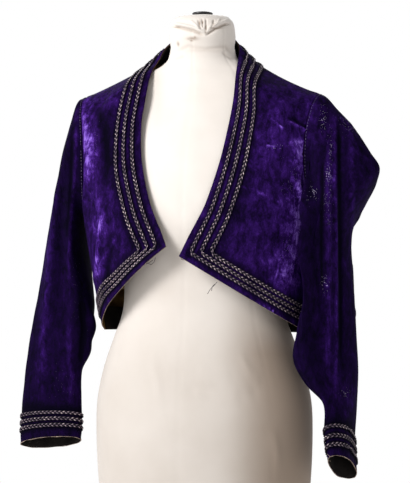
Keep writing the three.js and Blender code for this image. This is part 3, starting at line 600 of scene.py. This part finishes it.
# Thinner than the cloth, so that the inner face shows less where the left sleeve's sharp folds cross
# themselves, which they still do.
SLEEVE_PILE = 0.001


def about_zero(tree, factor, strength):
    """A noise of 0 to 1 as a swing of that strength about zero."""
    node = calculate(tree, "MULTIPLY_ADD", factor, strength).node
    node.inputs[2].default_value = -strength / 2
    return node.outputs[0]


def stretched(tree, coordinates, upward):
    """Coordinates that draw a pattern out along Z, the more the smaller the share."""
    node = tree.nodes.new("ShaderNodeVectorMath")
    node.operation = "MULTIPLY"
    node.inputs[1].default_value = (1.0, 1.0, upward)
    link(tree, coordinates, node.inputs[0])
    return node.outputs[0]


def velvet_material(name):
    material, tree, shader, coordinates = new_material(name, 0.95, Specular_IOR_Level=0.04)
    broad = noise(tree, coordinates, 32, 4, 0.3)
    crushed = noise(tree, stretched(tree, coordinates, 0.55), 105, 9, 0.35, 0.8)
    streaks = noise(tree, stretched(tree, coordinates, 0.22), 130, 4, 0.2, 0.6)
    grain = noise(tree, coordinates, 650, 3)
    # Painted highlights and shade for each point, which lift or sink the pile's own mottle.
    painted_light_on_pile = attribute(tree, "painted_light_on_pile")
    value = about_zero(tree, broad, 1.0)
    value = calculate(tree, "ADD", value, about_zero(tree, crushed, 4.0))
    value = calculate(tree, "ADD", value, about_zero(tree, streaks, 0.8))
    value = calculate(tree, "MULTIPLY", value, calculate(tree, "ADD", painted_light_on_pile, 0.1))
    value = calculate(tree, "ADD", value, painted_light_on_pile)
    value = calculate(tree, "ADD", value, about_zero(tree, grain, 0.3), clamp=True)
    colour = ramp(
        tree,
        value,
        (0.0, (0.0012, 0.0004, 0.005)),
        (1.0, (0.21, 0.11, 0.49)),
        (0.22, (0.0062, 0.0011, 0.024)),
        (0.5, (0.022, 0.0046, 0.082)),
        (0.76, (0.072, 0.022, 0.23)),
    )
    worn = tree.nodes.new("ShaderNodeTexVoronoi")
    worn.inputs["Scale"].default_value = 560
    link(tree, coordinates, worn.inputs["Vector"])
    reach = calculate(tree, "MULTIPLY", attribute(tree, "wear"), 0.38)
    dots = calculate(tree, "LESS_THAN", worn.outputs["Distance"], reach)
    cell = tree.nodes.new("ShaderNodeSeparateColor")
    link(tree, worn.outputs["Color"], cell.inputs[0])
    dots = calculate(tree, "MULTIPLY", dots, calculate(tree, "GREATER_THAN", cell.outputs[0], 0.45))
    colour = mix_colours(tree, dots, colour, (0.52, 0.45, 0.62))
    lining = ramp(tree, broad, (0.35, (0.06, 0.032, 0.010)), (0.65, (0.17, 0.10, 0.036)))
    colour = mix_colours(tree, attribute(tree, "inside"), colour, lining)
    link(tree, colour, shader.inputs["Base Color"])
    link(tree, bump(tree, crushed, 0.3, 0.001), shader.inputs["Normal"])
    return material


velvet = velvet_material("crushed_velvet")


def add_shell(name, grid, normals, ring, thickness, material, values):
    """A closed wall under a grid: the outer face, the inner face and the turned edges."""
    rows, columns = grid.shape[:2]
    count = rows * columns
    inner = grid - normals * thickness
    vertices = np.concatenate([grid.reshape(-1, 3), inner.reshape(-1, 3)])
    faces = [faces_of(rows, columns, ring), faces_of(rows, columns, ring, count, flip=True)]
    index = np.arange(count).reshape(rows, columns)
    rims = [(index[0], ring), (index[-1][::-1], ring)]
    if not ring:
        round_it = [index[0], index[1:, -1], index[-1, ::-1][1:], index[:-1, 0][::-1][:-1]]
        rims = [(np.concatenate(round_it), True)]
    for rim, closed in rims:
        following = np.roll(rim, -1) if closed else rim[1:]
        rim = rim if closed else rim[:-1]
        faces.append(np.stack([rim, rim + count, following + count, following], -1))
    doubled = {key: np.concatenate([v.ravel(), v.ravel()]) for key, v in values.items()}
    doubled["inside"] = np.concatenate([np.zeros(count), np.full(count, 0.0 if ring else 1.0)])
    return add_mesh(name, vertices, list(np.concatenate(faces)), material, doubled)


def cloth_grid(node, thickness, count):
    """A cloth node's outer grid with its rows from the hem up and its columns from low X to high X."""
    points, triangles = layers_of(node, thickness)
    grid, ring = grid_of(points, triangles)
    if not ring and grid.shape[0] != count:
        grid = grid.swapaxes(0, 1)
    if grid[0, :, 2].mean() > grid[-1, :, 2].mean():
        grid = grid[::-1]
    if not ring and grid[:, 0, 0].mean() > grid[:, -1, 0].mean():
        grid = grid[:, ::-1]
    if ring:
        start = int(np.argmax(np.abs(grid[0, :, 0])))
        grid = np.roll(grid, -start, axis=1)
    return grid, ring


def outward_normals(grid, ring):
    normals = normals_of(grid, ring)
    if ring:
        towards = grid.mean(axis=1, keepdims=True)
    else:
        towards = np.zeros((grid.shape[0], 1, 3))
        towards[..., 2] = grid[..., 2].mean(axis=1, keepdims=True)
    return normals if (normals * (grid - towards)).sum() > 0 else -normals


# Creases and seams of each piece, as they lie on the picture: where the line runs, how wide and
# how high it stands in mm, negative for a fold that sinks in.
CREASES = {
    "front_left": [
        ([(318, 137), (309, 132), (297, 126), (285, 120)], 2.6, 3.4),
        ([(285, 130), (278, 124), (270, 117)], 2.2, 2.6),
        ([(318, 139), (300, 142), (286, 143)], 2.6, 2.0),
        ([(318, 136), (315, 124), (311, 110)], 3.0, 2.2),
        ([(316, 143), (308, 148), (303, 156)], 3.6, -2.6),
        ([(316, 132), (303, 125), (292, 117)], 2.6, -2.2),
        ([(238, 185), (252, 190), (269, 196), (284, 204)], 1.8, 1.6),
        ([(266, 145.5), (270, 146), (277, 147.5)], 1.8, 3.4),
        ([(307, 180), (303, 205), (300, 235), (297, 270)], 8.0, 1.2),
        ([(257, 300.5), (254, 306.5)], 1.3, 1.6),
        ([(261, 302), (258, 308.5)], 1.2, 2.2),
        ([(266, 304), (261.5, 311)], 1.3, 1.8),
        ([(270, 306.5), (266, 314)], 1.3, 2.6),
        ([(273.5, 309), (270, 316.5)], 1.2, 3.0),
        ([(277.5, 311), (273.5, 318)], 1.2, 2.6),
        ([(281.5, 313.5), (278, 320)], 1.2, 2.4),
        ([(243, 292), (240, 297)], 1.3, 1.2),
    ],
    "front_right": [
        ([(83, 104), (86, 130), (88, 150), (88, 185)], 5.0, 2.0),
        ([(96, 104), (104, 130), (106, 160), (104, 190)], 8.0, -2.0),
        ([(96, 190), (101, 215), (104, 240)], 5.0, 1.5),
        ([(103, 213), (99, 235), (97, 262), (92, 292)], 2.8, 2.6),
        ([(116, 236), (109, 250), (101, 264), (96, 280)], 2.6, 2.0),
        ([(126, 246), (119, 256), (112, 262)], 2.2, 1.2),
        ([(86, 146), (92, 152), (101, 156)], 2.4, 1.8),
        ([(84, 166), (92, 170), (100, 168)], 2.4, -1.2),
        ([(112, 240), (108, 262), (106, 285)], 5.0, -1.6),
    ],
    "sleeve_left": [
        ([(335, 112), (335, 170), (336, 230), (336, 290), (336, 350), (335, 405)], 2.4, 2.2),
        ([(339, 112), (339.5, 170), (340, 241), (341, 300), (341, 370)], 2.6, -2.6),
        ([(323, 150), (322, 200), (322, 250), (322, 300)], 3.0, -1.6),
        ([(328, 130), (328, 200), (329, 260), (328, 320), (326, 380)], 5.0, 1.6),
        ([(350, 110), (352, 150), (352, 200), (352, 260)], 4.0, 1.2),
        ([(346, 392), (351, 395), (358, 390)], 2.4, 1.0),
    ],
    "sleeve_right": [
        ([(76, 112), (76, 150), (74, 190), (70, 240), (68, 300)], 3.6, 1.6),
        ([(72, 130), (71, 180), (66, 240)], 3.0, -1.2),
        ([(56, 170), (50, 240), (44, 320), (40, 400)], 7.0, 1.6),
        ([(69, 320), (70, 360), (71, 404)], 4.0, 1.4),
        ([(81, 300), (84, 330), (80, 365)], 4.0, -2.0),
    ],
    "back": [],
}
# The same on the sides that the picture hides, in mm across and up as they are from behind.
HIDDEN_CREASES = {
    "back": [
        ([(-150, 690), (-118, 640), (-72, 585), (-40, 540)], 7, 1.6),
        ([(-158, 640), (-128, 600), (-96, 570)], 5, -1.4),
        ([(146, 700), (120, 652), (84, 600), (46, 566)], 8, 1.4),
        ([(156, 634), (132, 590), (104, 552), (90, 520)], 5, -1.5),
        ([(8, 790), (-4, 720), (2, 650), (-2, 590)], 11, 0.9),
        ([(-30, 470), (-24, 520), (-28, 566)], 6, 1.0),
        ([(34, 466), (28, 512), (36, 548)], 6, 1.0),
        ([(-124, 400), (-120, 440), (-126, 500)], 8, 1.2),
        ([(118, 400), (122, 452), (116, 505)], 8, 1.1),
        ([(-62, 386), (-61, 402), (-62, 424)], 2.6, 1.3),
        ([(-48, 386), (-48, 404), (-49, 430)], 2.6, 1.4),
        ([(-35, 386), (-35, 402), (-34, 420)], 2.6, 1.2),
        ([(36, 386), (35, 404), (36, 428)], 2.6, 1.3),
        ([(50, 386), (50, 402), (51, 422)], 2.6, 1.4),
        ([(63, 386), (63, 404), (62, 426)], 2.6, 1.2),
    ],
    "sleeve_left": [
        ([(250, 700), (246, 600), (242, 500), (240, 400)], 5, 1.8),
        ([(262, 690), (264, 600), (256, 520)], 6, -1.8),
        ([(226, 640), (222, 560), (220, 480)], 6, 1.4),
        ([(214, 380), (232, 392), (256, 388)], 5, 1.5),
        ([(212, 356), (230, 364), (250, 356)], 4, -1.3),
        ([(232, 330), (236, 280), (234, 220)], 4, 1.2),
    ],
    "sleeve_right": [
        ([(-238, 700), (-242, 600), (-250, 500), (-262, 400)], 5, 1.7),
        ([(-222, 680), (-224, 590), (-228, 520)], 5, -1.7),
        ([(-262, 620), (-270, 540), (-276, 460)], 6, 1.5),
        ([(-222, 398), (-244, 408), (-270, 396)], 5, 1.5),
        ([(-226, 372), (-246, 378), (-268, 366)], 4, -1.3),
        ([(-256, 330), (-262, 270), (-266, 200)], 4, 1.2),
    ],
}
# Painted highlights on the pile, as they are seen: middle, half width, half height
# and strength, negative for painted shade.
PAINTED_LIGHT_PATCHES = {
    "front_left": [
        (301, 152, 8, 14, 0.58),
        (302, 185, 9, 30, 0.60),
        (298, 222, 11, 26, 0.54),
        (287, 272, 15, 26, 0.52),
        (262, 150, 24, 30, 0.10),
        (318, 118, 9, 16, 0.22),
        (286, 105, 26, 14, 0.02),
        (276, 118, 12, 10, 0.08),
        (268, 200, 20, 10, 0.14),
        (255, 260, 26, 22, 0.06),
        (308, 150, 3, 14, -0.25),
        (240, 190, 10, 40, -0.10),
        (251, 105, 6, 30, -0.14),
    ],
    "front_right": [
        (91, 155, 9, 30, 0.42),
        (88, 125, 8, 18, 0.26),
        (100, 96, 26, 10, 0.22),
        (96, 225, 10, 22, 0.20),
        (99, 276, 8, 18, 0.20),
        (118, 258, 16, 20, 0.04),
        (108, 200, 12, 30, 0.12),
        (110, 135, 6, 40, -0.14),
        (140, 190, 30, 80, -0.03),
    ],
    "sleeve_left": [
        (314, 116, 9, 24, 0.26),
        (330, 160, 6, 50, 0.08),
        (330, 260, 6, 60, 0.05),
        (331, 350, 6, 40, 0.08),
        (345, 118, 14, 18, 0.14),
        (347, 220, 6, 60, 0.03),
        (312, 220, 8, 70, -0.10),
        (306, 360, 14, 40, -0.10),
        (345, 400, 12, 16, 0.10),
    ],
    "sleeve_right": [
        (77, 130, 3, 30, 0.14),
        (60, 340, 20, 60, 0.05),
        (70, 385, 12, 20, 0.08),
        (60, 180, 12, 60, -0.05),
        (80, 280, 5, 60, -0.08),
    ],
    "back": [],
}
# Where the pile is worn down to pale dots, in the same way.
WEAR = {
    "sleeve_left": [
        (328, 174, 4, 9, 1.0),
        (330, 150, 4, 26, 0.6),
        (328, 200, 5, 30, 0.55),
        (312, 193, 6, 9, 0.75),
        (325, 284, 4, 9, 0.8),
        (323, 118, 4, 16, 0.7),
        (348, 120, 14, 16, 0.45),
        (346, 393, 6, 4, 0.8),
    ],
    "front_left": [(296, 175, 16, 36, 0.3), (290, 250, 14, 30, 0.3), (276, 147, 8, 3, 0.7)],
    "front_right": [(92, 150, 10, 50, 0.2)],
    "sleeve_right": [(60, 380, 20, 20, 0.18), (76, 300, 8, 60, 0.2)],
    "back": [],
}
PATCH_STRENGTH = 0.72
CREASE_PAINTED_LIGHT = 0.12  # painted highlight: how much lighter a crease is for each mm that it stands up, and painted shade, as much darker, for each mm that it sinks in
# Painted light of each piece as a whole, which paints the sleeves darker than the body.
BASE_PAINTED_LIGHT = {
    "front_left": 0.28,
    "front_right": 0.25,
    "back": 0.29,
    "sleeve_left": 0.17,
    "sleeve_right": 0.11,
}
BRAID_LINES = {
    # whether braids run along the rows from the hem, the columns from the front edge, the last rows
    "front_left": (True, "first", False),
    "front_right": (True, "last", False),
    "back": (True, None, True),
    "sleeve_left": (True, None, False),
    "sleeve_right": (True, None, False),
}


def painted_braid_shadow(rows_at, columns_at, lines):
    """Painted shadow of the three braids of each edge: 1 under and next to them, and 0 away from them."""
    at_hem, at_edge, at_neck = lines
    shade = np.zeros((len(rows_at), len(columns_at)))
    i, j = np.meshgrid(rows_at, columns_at, indexing="ij")
    edge = {"first": j, "last": j.max() - j, None: np.full(j.shape, 99.0)}[at_edge]
    for k in range(3):
        low, high = 2 * k + 1, 2 * k + 2

        def band(at, other):
            outside = np.maximum(low - at, at - high)
            return np.clip(1 - outside / 0.55, 0, 1) * (other > low - 0.4)

        if at_hem:
            shade = np.maximum(shade, band(i, edge))
        shade = np.maximum(shade, band(edge, i))
        if at_neck:
            shade = np.maximum(shade, band(i.max() - i, 99))
    return shade


CLOTH = [
    # piece, grid rows, and how many parts each square is cut in, along and across
    ("front_left", 28, 8, 12),
    ("front_right", 28, 8, 12),
    ("back", 36, 6, 8),
    ("sleeve_left", 22, 10, 5),
    ("sleeve_right", 22, 10, 5),
]
shells = {}
for name, count, cut_rows, cut_columns in CLOTH:
    grid, ring = cloth_grid(name, PILE, count)
    fine = finer(grid, cut_rows, cut_columns, ring)
    normals = outward_normals(fine, ring)
    seen = as_seen(fine)
    faces_us = np.clip((normals @ BACKWARD) * 4, 0, 1)
    if name == "back":
        faces_us = faces_us * 0
    lift = np.zeros(seen.shape[:2])
    for line, width, rise in CREASES[name]:
        lift += rise * fold_at(seen, seen_points(*line), width, 8) * faces_us
    behind = fine[..., [0, 2]] * 1000
    faces_back = np.clip(normals[..., 1] * 4, 0, 1) * (faces_us == 0)
    for line, width, rise in HIDDEN_CREASES.get(name, []):
        lift += rise * fold_at(behind, line, width, 5) * faces_back
    # Painted light on the pile: a base for the piece, then painted highlights on raised creases and painted
    # shade in sunken ones.
    painted_light_on_pile = BASE_PAINTED_LIGHT[name] + CREASE_PAINTED_LIGHT * lift
    # Painted highlights and painted shade in patches.
    for *place_and_size, strength in PAINTED_LIGHT_PATCHES[name]:
        painted_light_on_pile += PATCH_STRENGTH * strength * mark_at(seen, *place_and_size) * np.clip(faces_us + 0.2, 0, 1)
    wear = np.zeros(seen.shape[:2])
    for *place_and_size, strength in WEAR[name]:
        wear = np.maximum(wear, strength * mark_at(seen, *place_and_size) * faces_us)
    rows_at = np.arange(fine.shape[0]) / cut_rows
    columns_at = np.arange(fine.shape[1]) / cut_columns
    # Painted shadow that the braids cast on the velvet beside them.
    painted_light_on_pile -= 0.2 * painted_braid_shadow(rows_at, columns_at, BRAID_LINES[name])
    fine = fine + normals * (lift / 1000)[..., None]
    normals = outward_normals(fine, ring)
    wall = SLEEVE_PILE if ring else PILE
    shell = add_shell(name + "_velvet", fine, normals, ring, wall, velvet, {"painted_light_on_pile": painted_light_on_pile, "wear": wear})
    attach(shell, "root")
    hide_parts(name)
    shells[name] = (shell, fine, normals)


# The braids: three rows of flat plaited braid in tarnished metal thread, stitched along the front
# and neck edges, the hem and round each cuff.
braid_material, tree, shader, coordinates = new_material("tarnished_braid", 0.5, Specular_IOR_Level=0.2)
tarnish = noise(tree, coordinates, 90, 4)
# Painted glints on the metal thread; the same noise also gives its bumps.
painted_glint_and_bumps = noise(tree, coordinates, 1100, 2)
half_painted_glint = calculate(tree, "MULTIPLY", painted_glint_and_bumps, 0.5)
tone = calculate(tree, "ADD", calculate(tree, "MULTIPLY", tarnish, 0.5), half_painted_glint)
# Painted highlight where the strands crest, and painted shade on the rest of them.
tone = calculate(tree, "MULTIPLY", tone, calculate(tree, "MULTIPLY", attribute(tree, "painted_crest_light"), 2.0))
link(
    tree,
    ramp(
        tree,
        tone,
        (0.12, (0.002, 0.001, 0.005)),
        (1.0, (0.62, 0.50, 0.49)),
        (0.42, (0.014, 0.008, 0.018)),
        (0.66, (0.075, 0.05, 0.075)),
        (0.86, (0.25, 0.19, 0.215)),
    ),
    shader.inputs["Base Color"],
)
link(tree, bump(tree, painted_glint_and_bumps, 0.4, 0.0003), shader.inputs["Normal"])
BRAID_THICK = 0.0022
PLAIT = 0.0216  # one whole turn of the three strands
STEPS_PER_PLAIT = 18
STRAND_SIDES = 6
STRAND_WIDE, STRAND_HIGH = 0.0011, 0.0008  # half of a strand's width and thickness
STRAND_RISE = 0.0006
WIDEST_PLAIT = 0.0088


def braid_route(node):
    """The two edge lines of a braid's solid, through the middle of its thickness, and whether it closes."""
    points, triangles = layers_of(node, BRAID_THICK)
    gaps = np.abs(np.linalg.norm(points[:, None] - points[None], axis=2) - BRAID_THICK)
    partner = gaps.argmin(axis=1)
    half = (points - points[partner]) / BRAID_THICK
    edge_of = triangles_by_edge(triangles)
    shared = {t: [e for e, both in edge_of.items() if t in both and len(both) == 2] for t in triangles}
    ends = [t for t in triangles if len(shared[t]) == 1]
    current = ends[0] if ends else triangles[0]
    crossings, last, visited = [], None, set()
    while current is not None and current not in visited:
        visited.add(current)
        onward = [e for e in shared[current] if e != last]
        if not onward:
            break
        last = onward[0]
        crossings.append(last)
        both = edge_of[last]
        current = both[1] if both[0] == current else both[0]

    def edge_length(edge):
        return np.linalg.norm(np.subtract(*[points[i] for i in edge]))

    def mean_length(edges):
        return np.mean([edge_length(e) for e in edges])

    closed = not ends
    if closed:
        first, second = crossings[0::2], crossings[1::2]
        sections = first if mean_length(first) < mean_length(second) else second
    else:
        sections = crossings[1::2]
        start = set(ends[0]) - set(crossings[0])
        opening = [frozenset((i, j)) for i in start for j in crossings[0]]
        opening = [e for e in opening if len(edge_of[e]) == 1]
        opening.sort(key=lambda e: min(len(e & sections[0]), 1) * 10 + edge_length(e))
        sections = [opening[0]] + sections
        finish = ends[1] if ends[1] in visited else ends[0]
        tail = set(finish) - set(crossings[-1])
        closing = [frozenset((i, j)) for i in tail for j in crossings[-1]]
        closing = [e for e in closing if len(edge_of[e]) == 1]
        closing.sort(key=lambda e: min(len(e & sections[-1]), 1) * 10 + edge_length(e))
        sections = sections + [closing[0]]
    left, right = [], []
    for section in sections:
        a, b = section
        if left and np.linalg.norm(points[a] - left[-1]) > np.linalg.norm(points[b] - left[-1]):
            a, b = b, a
        left.append(points[a])
        right.append(points[b])
    up = [half[list(section)].mean(axis=0) for section in sections]
    left, right, up = np.array(left), np.array(right), np.array(up)
    drop = up * BRAID_THICK / 2
    return left - drop, right - drop, up, closed


def smooth_line(line, steps, closed):
    grid = np.stack([line, line], axis=1)
    if closed:
        grid = np.concatenate([grid, grid[:1]])
    return finer(grid, steps, 1, False)[:, 0]


def lengths_along(line):
    return np.concatenate([[0], np.cumsum(np.linalg.norm(np.diff(line, axis=0), axis=1))])


def points_along(line, lengths, at):
    return np.stack([np.interp(at, lengths, line[:, k]) for k in range(3)], -1)


def even_steps(line, *others, step):
    lengths = lengths_along(line)
    count = max(4, int(round(lengths[-1] / step)))
    at = np.linspace(0, lengths[-1], count + 1)
    return [points_along(other, lengths, at) for other in (line, *others)], at


def tube(centre, across, up, wide, high, sides):
    """A flat strand along centre points, as a grid of rows round it."""
    turns = np.arange(sides) / sides * 2 * math.pi
    return (
        centre[:, None]
        + across[:, None] * (np.cos(turns) * wide)[None, :, None]
        + up[:, None] * (np.sin(turns) * high)[None, :, None]
    )


def tube_faces(count, sides, offset, closed):
    """The faces round a tube, and its two ends unless it closes on itself."""
    faces = list(faces_of(count, sides, True, offset))
    if not closed:
        faces.append(np.arange(sides)[::-1] + offset)
        faces.append(np.arange(sides) + offset + (count - 1) * sides)
    return faces


braid_pieces = {}
for node in sorted(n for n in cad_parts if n.startswith("braid_")):
    left, right, up, closed = braid_route(node)
    left, right, up = (smooth_line(line, 8, closed) for line in (left, right, up))
    middle = (left + right) / 2
    (middle, left, right, up), at = even_steps(middle, left, right, up, step=PLAIT / STEPS_PER_PLAIT)
    sideways = right - left
    width = np.linalg.norm(sideways, axis=1)
    sideways = sideways / width[:, None]
    up = up / np.linalg.norm(up, axis=1)[:, None]
    width = np.minimum(width, WIDEST_PLAIT)
    length = at[-1]
    pitch = length / max(1, round(length / PLAIT))
    vertices, faces, painted_crest_lights, offset = [], [], [], 0
    for strand in range(3):
        phase = 2 * math.pi * (at / pitch + strand / 3)
        swing = np.sin(phase) * (width / 2 - STRAND_WIDE)
        rise = np.sin(2 * phase) * STRAND_RISE
        centre = middle + sideways * swing[:, None] + up * rise[:, None]
        heading = np.gradient(centre, axis=0)
        heading /= np.linalg.norm(heading, axis=1)[:, None]
        cross = np.cross(up, heading)
        cross /= np.linalg.norm(cross, axis=1)[:, None]
        strand_tube = tube(centre, cross, np.cross(heading, cross), STRAND_WIDE, STRAND_HIGH, STRAND_SIDES)
        count = len(strand_tube)
        turns = np.arange(STRAND_SIDES) / STRAND_SIDES * 2 * math.pi
        # Painted highlight on the top of each strand where it rides above the others.
        over = (0.5 + 0.5 * np.sin(2 * phase))[:, None] ** 1.5 * np.clip(np.sin(turns), 0, 1)[None]
        painted_crest_lights.append(over.ravel())
        vertices.append(strand_tube.reshape(-1, 3))
        faces += tube_faces(count, STRAND_SIDES, offset, closed)
        offset += count * STRAND_SIDES
    painted_crest_light_values = {"painted_crest_light": np.concatenate(painted_crest_lights)}
    plait = add_mesh(node + "_plait", np.concatenate(vertices), faces, braid_material, painted_crest_light_values)
    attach(plait, "root")
    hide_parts(node)
    braid_pieces[node] = plait


# The facings and the lining: thin dark cotton turned in at the hem, the neck and the cuffs, and a
# worn brown sateen behind the back.
def simple_cloth(name, dark, light, scale, **uniform):
    material, tree, shader, coordinates = new_material(name, 0.9, Specular_IOR_Level=0.08, **uniform)
    mottle = ramp(tree, noise(tree, coordinates, scale, 4), (0.3, dark), (0.7, light))
    link(tree, mottle, shader.inputs["Base Color"])
    link(tree, bump(tree, noise(tree, coordinates, 1200, 2), 0.3, 0.0003), shader.inputs["Normal"])
    return material


dark_cotton = simple_cloth("dark_cotton_facing", (0.0035, 0.0028, 0.0028), (0.011, 0.009, 0.008), 40)
sateen = simple_cloth("brown_sateen", (0.16, 0.09, 0.03), (0.38, 0.24, 0.10), 26, Sheen_Weight=0.2)
FACING = 0.0008
for name in ("hem_facing", "neck_facing", "back_lining", "cuff_facing_left", "cuff_facing_right"):
    material = sateen if name == "back_lining" else dark_cotton
    points, triangles = layers_of(name, FACING)
    grid, ring = grid_of(points, triangles)
    fine = finer(grid, 6, 6, ring)
    normals = outward_normals(fine, ring)
    piece = add_shell(name + "_cloth", fine, normals, ring, FACING, material, {})
    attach(piece, "root")
    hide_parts(name)

# The stitching: the beige edge of the lining where it shows at the cuffs and the front hems, the
# stitches of the armhole seams, and a few threads that have come loose.
def thread_material(name, dark, light):
    material, tree, shader, coordinates = new_material(name, 0.8, Specular_IOR_Level=0.1)
    flecks = ramp(tree, noise(tree, coordinates, 500, 2), (0.35, dark), (0.65, light))
    link(tree, flecks, shader.inputs["Base Color"])
    return material


beige_edge = thread_material("lining_edge", (0.13, 0.08, 0.06), (0.46, 0.36, 0.29))
pale_thread = thread_material("seam_thread", (0.03, 0.015, 0.07), (0.26, 0.21, 0.34))
black_thread = thread_material("loose_black_thread", (0.004, 0.003, 0.004), (0.02, 0.015, 0.02))
THREAD_SIDES = 6


def threads(name, lines, radius, material, closed=False):
    """Round threads along lines of points, in one piece."""
    vertices, faces, offset = [], [], 0
    for line in lines:
        line = np.asarray(line)
        if closed:
            heading = np.roll(line, -1, axis=0) - np.roll(line, 1, axis=0)
        else:
            heading = np.gradient(line, axis=0)
        heading /= np.linalg.norm(heading, axis=1)[:, None] + 1e-12
        helper = np.where(np.abs(heading[:, 2:]) > 0.9, [[1.0, 0, 0]], [[0, 0, 1.0]])
        across = np.cross(helper, heading)
        across /= np.linalg.norm(across, axis=1)[:, None]
        rounds = tube(line, across, np.cross(heading, across), radius, radius, THREAD_SIDES)
        count = len(rounds)
        if closed:
            rounds, count = np.concatenate([rounds, rounds[:1]]), count + 1
        vertices.append(rounds.reshape(-1, 3))
        faces += tube_faces(count, THREAD_SIDES, offset, closed)
        offset += count * THREAD_SIDES
    made = add_mesh(name, np.concatenate(vertices), faces, material)
    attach(made, "root")
    return made


def at_dot(dot, depth):
    """The point seen at a dot of the picture, that far toward the camera from the form's middle."""
    (across, up), = seen_points(dot)
    grow = (DISTANCE - depth) / DISTANCE
    across, up = across / 1000 * grow, EYE_HEIGHT + (up / 1000 - EYE_HEIGHT) * grow
    return ACROSS * across + BACKWARD * depth + np.array([0, 0, up])


def depth_at(name, dot):
    """How far toward the camera a piece of velvet lies where that dot of the picture falls on it."""
    fine = shells[name][1]
    gap = np.linalg.norm(as_seen(fine) - seen_points(dot), axis=-1) - 0.02 * (fine @ BACKWARD) * 1000
    return fine[np.unravel_index(gap.argmin(), gap.shape)] @ BACKWARD


sewing = {}
EDGE_WAVE = 0.0005
STITCH, STITCH_PITCH = 0.0024, 0.0052
for side in ("left", "right"):
    fine, normals = shells["sleeve_" + side][1:]
    along = np.arange(fine.shape[1])
    rim = fine[0] - normals[0] * 0.0006
    rim[:, 2] += EDGE_WAVE * np.sin(along * 0.37) * np.sin(along * 0.11 + 1) - 0.0002
    sewing["sleeve_" + side] = [threads(f"cuff_edge_{side}", [rim], 0.0006, beige_edge, closed=True)]
    stitches = []
    ring_row = fine[-3] + normals[-3] * 0.0003
    lengths = lengths_along(ring_row)
    for start in np.arange(0.003, lengths[-1] - 0.004, STITCH_PITCH):
        stitches.append(points_along(ring_row, lengths, np.linspace(start, start + STITCH, 4)))
    sewing["sleeve_" + side].append(threads(f"armhole_stitches_{side}", stitches, 0.00028, pale_thread))
    fine, normals = shells["front_" + side][1:]
    hem = fine[0] - normals[0] * 0.0010
    sewing["front_" + side] = [threads(f"hem_edge_{side}", [hem], 0.0004, beige_edge)]

LOOSE_THREADS = [
    # the front that it hangs from, and its dots on the picture
    ("front_right", [(140, 266.5), (143, 264.5), (147.5, 263), (151, 264.5), (154, 262), (155.5, 257.5)]),
    ("front_right", [(146, 264), (149, 262.5), (153, 260)]),
    ("front_left", [(217, 282), (214.5, 285), (210.5, 289), (207.5, 294)]),
    ("front_left", [(215, 284), (212.5, 286.5), (211.5, 291)]),
    ("front_left", [(183, 256), (181, 258.5), (183.5, 260), (185.5, 258)]),
]
loose = []
for name, dots in LOOSE_THREADS:
    depth = depth_at(name, dots[0]) + 0.001
    rough = np.array([at_dot(dot, depth) for dot in dots])
    loose.append(smooth_line(rough, 5, False))
threads("loose_threads", loose, 0.00042, black_thread)
cuff_depth = depth_at("sleeve_left", (329, 455))
CUFF_THREAD = [(327, 454), (329.5, 456.5), (328, 459.5), (330.5, 461.5)]
cuff_thread = np.array([at_dot(dot, cuff_depth) for dot in CUFF_THREAD])
threads("loose_cuff_thread", [smooth_line(cuff_thread, 5, False)], 0.0003, beige_edge)

# What each sheet was cut to, across and up in metres, and its flat area in square metres.
CUTS = [
    ("front_left", (0.262, 0.426), 0.067, "draped"),
    ("front_right", (0.255, 0.433), 0.064, "draped"),
    ("back", (0.495, 0.583), 0.208, "draped"),
    ("sleeve_left", (0.480, 0.623), 0.146, "hung"),
    ("sleeve_right", (0.492, 0.631), 0.140, "hung"),
]
for name, flat, area, held in CUTS:
    braids = "braid_" + name.replace("sleeve", "cuff")
    trims = [plait for node, plait in braid_pieces.items() if node.startswith(braids)]
    trims += sewing.get(name, [])
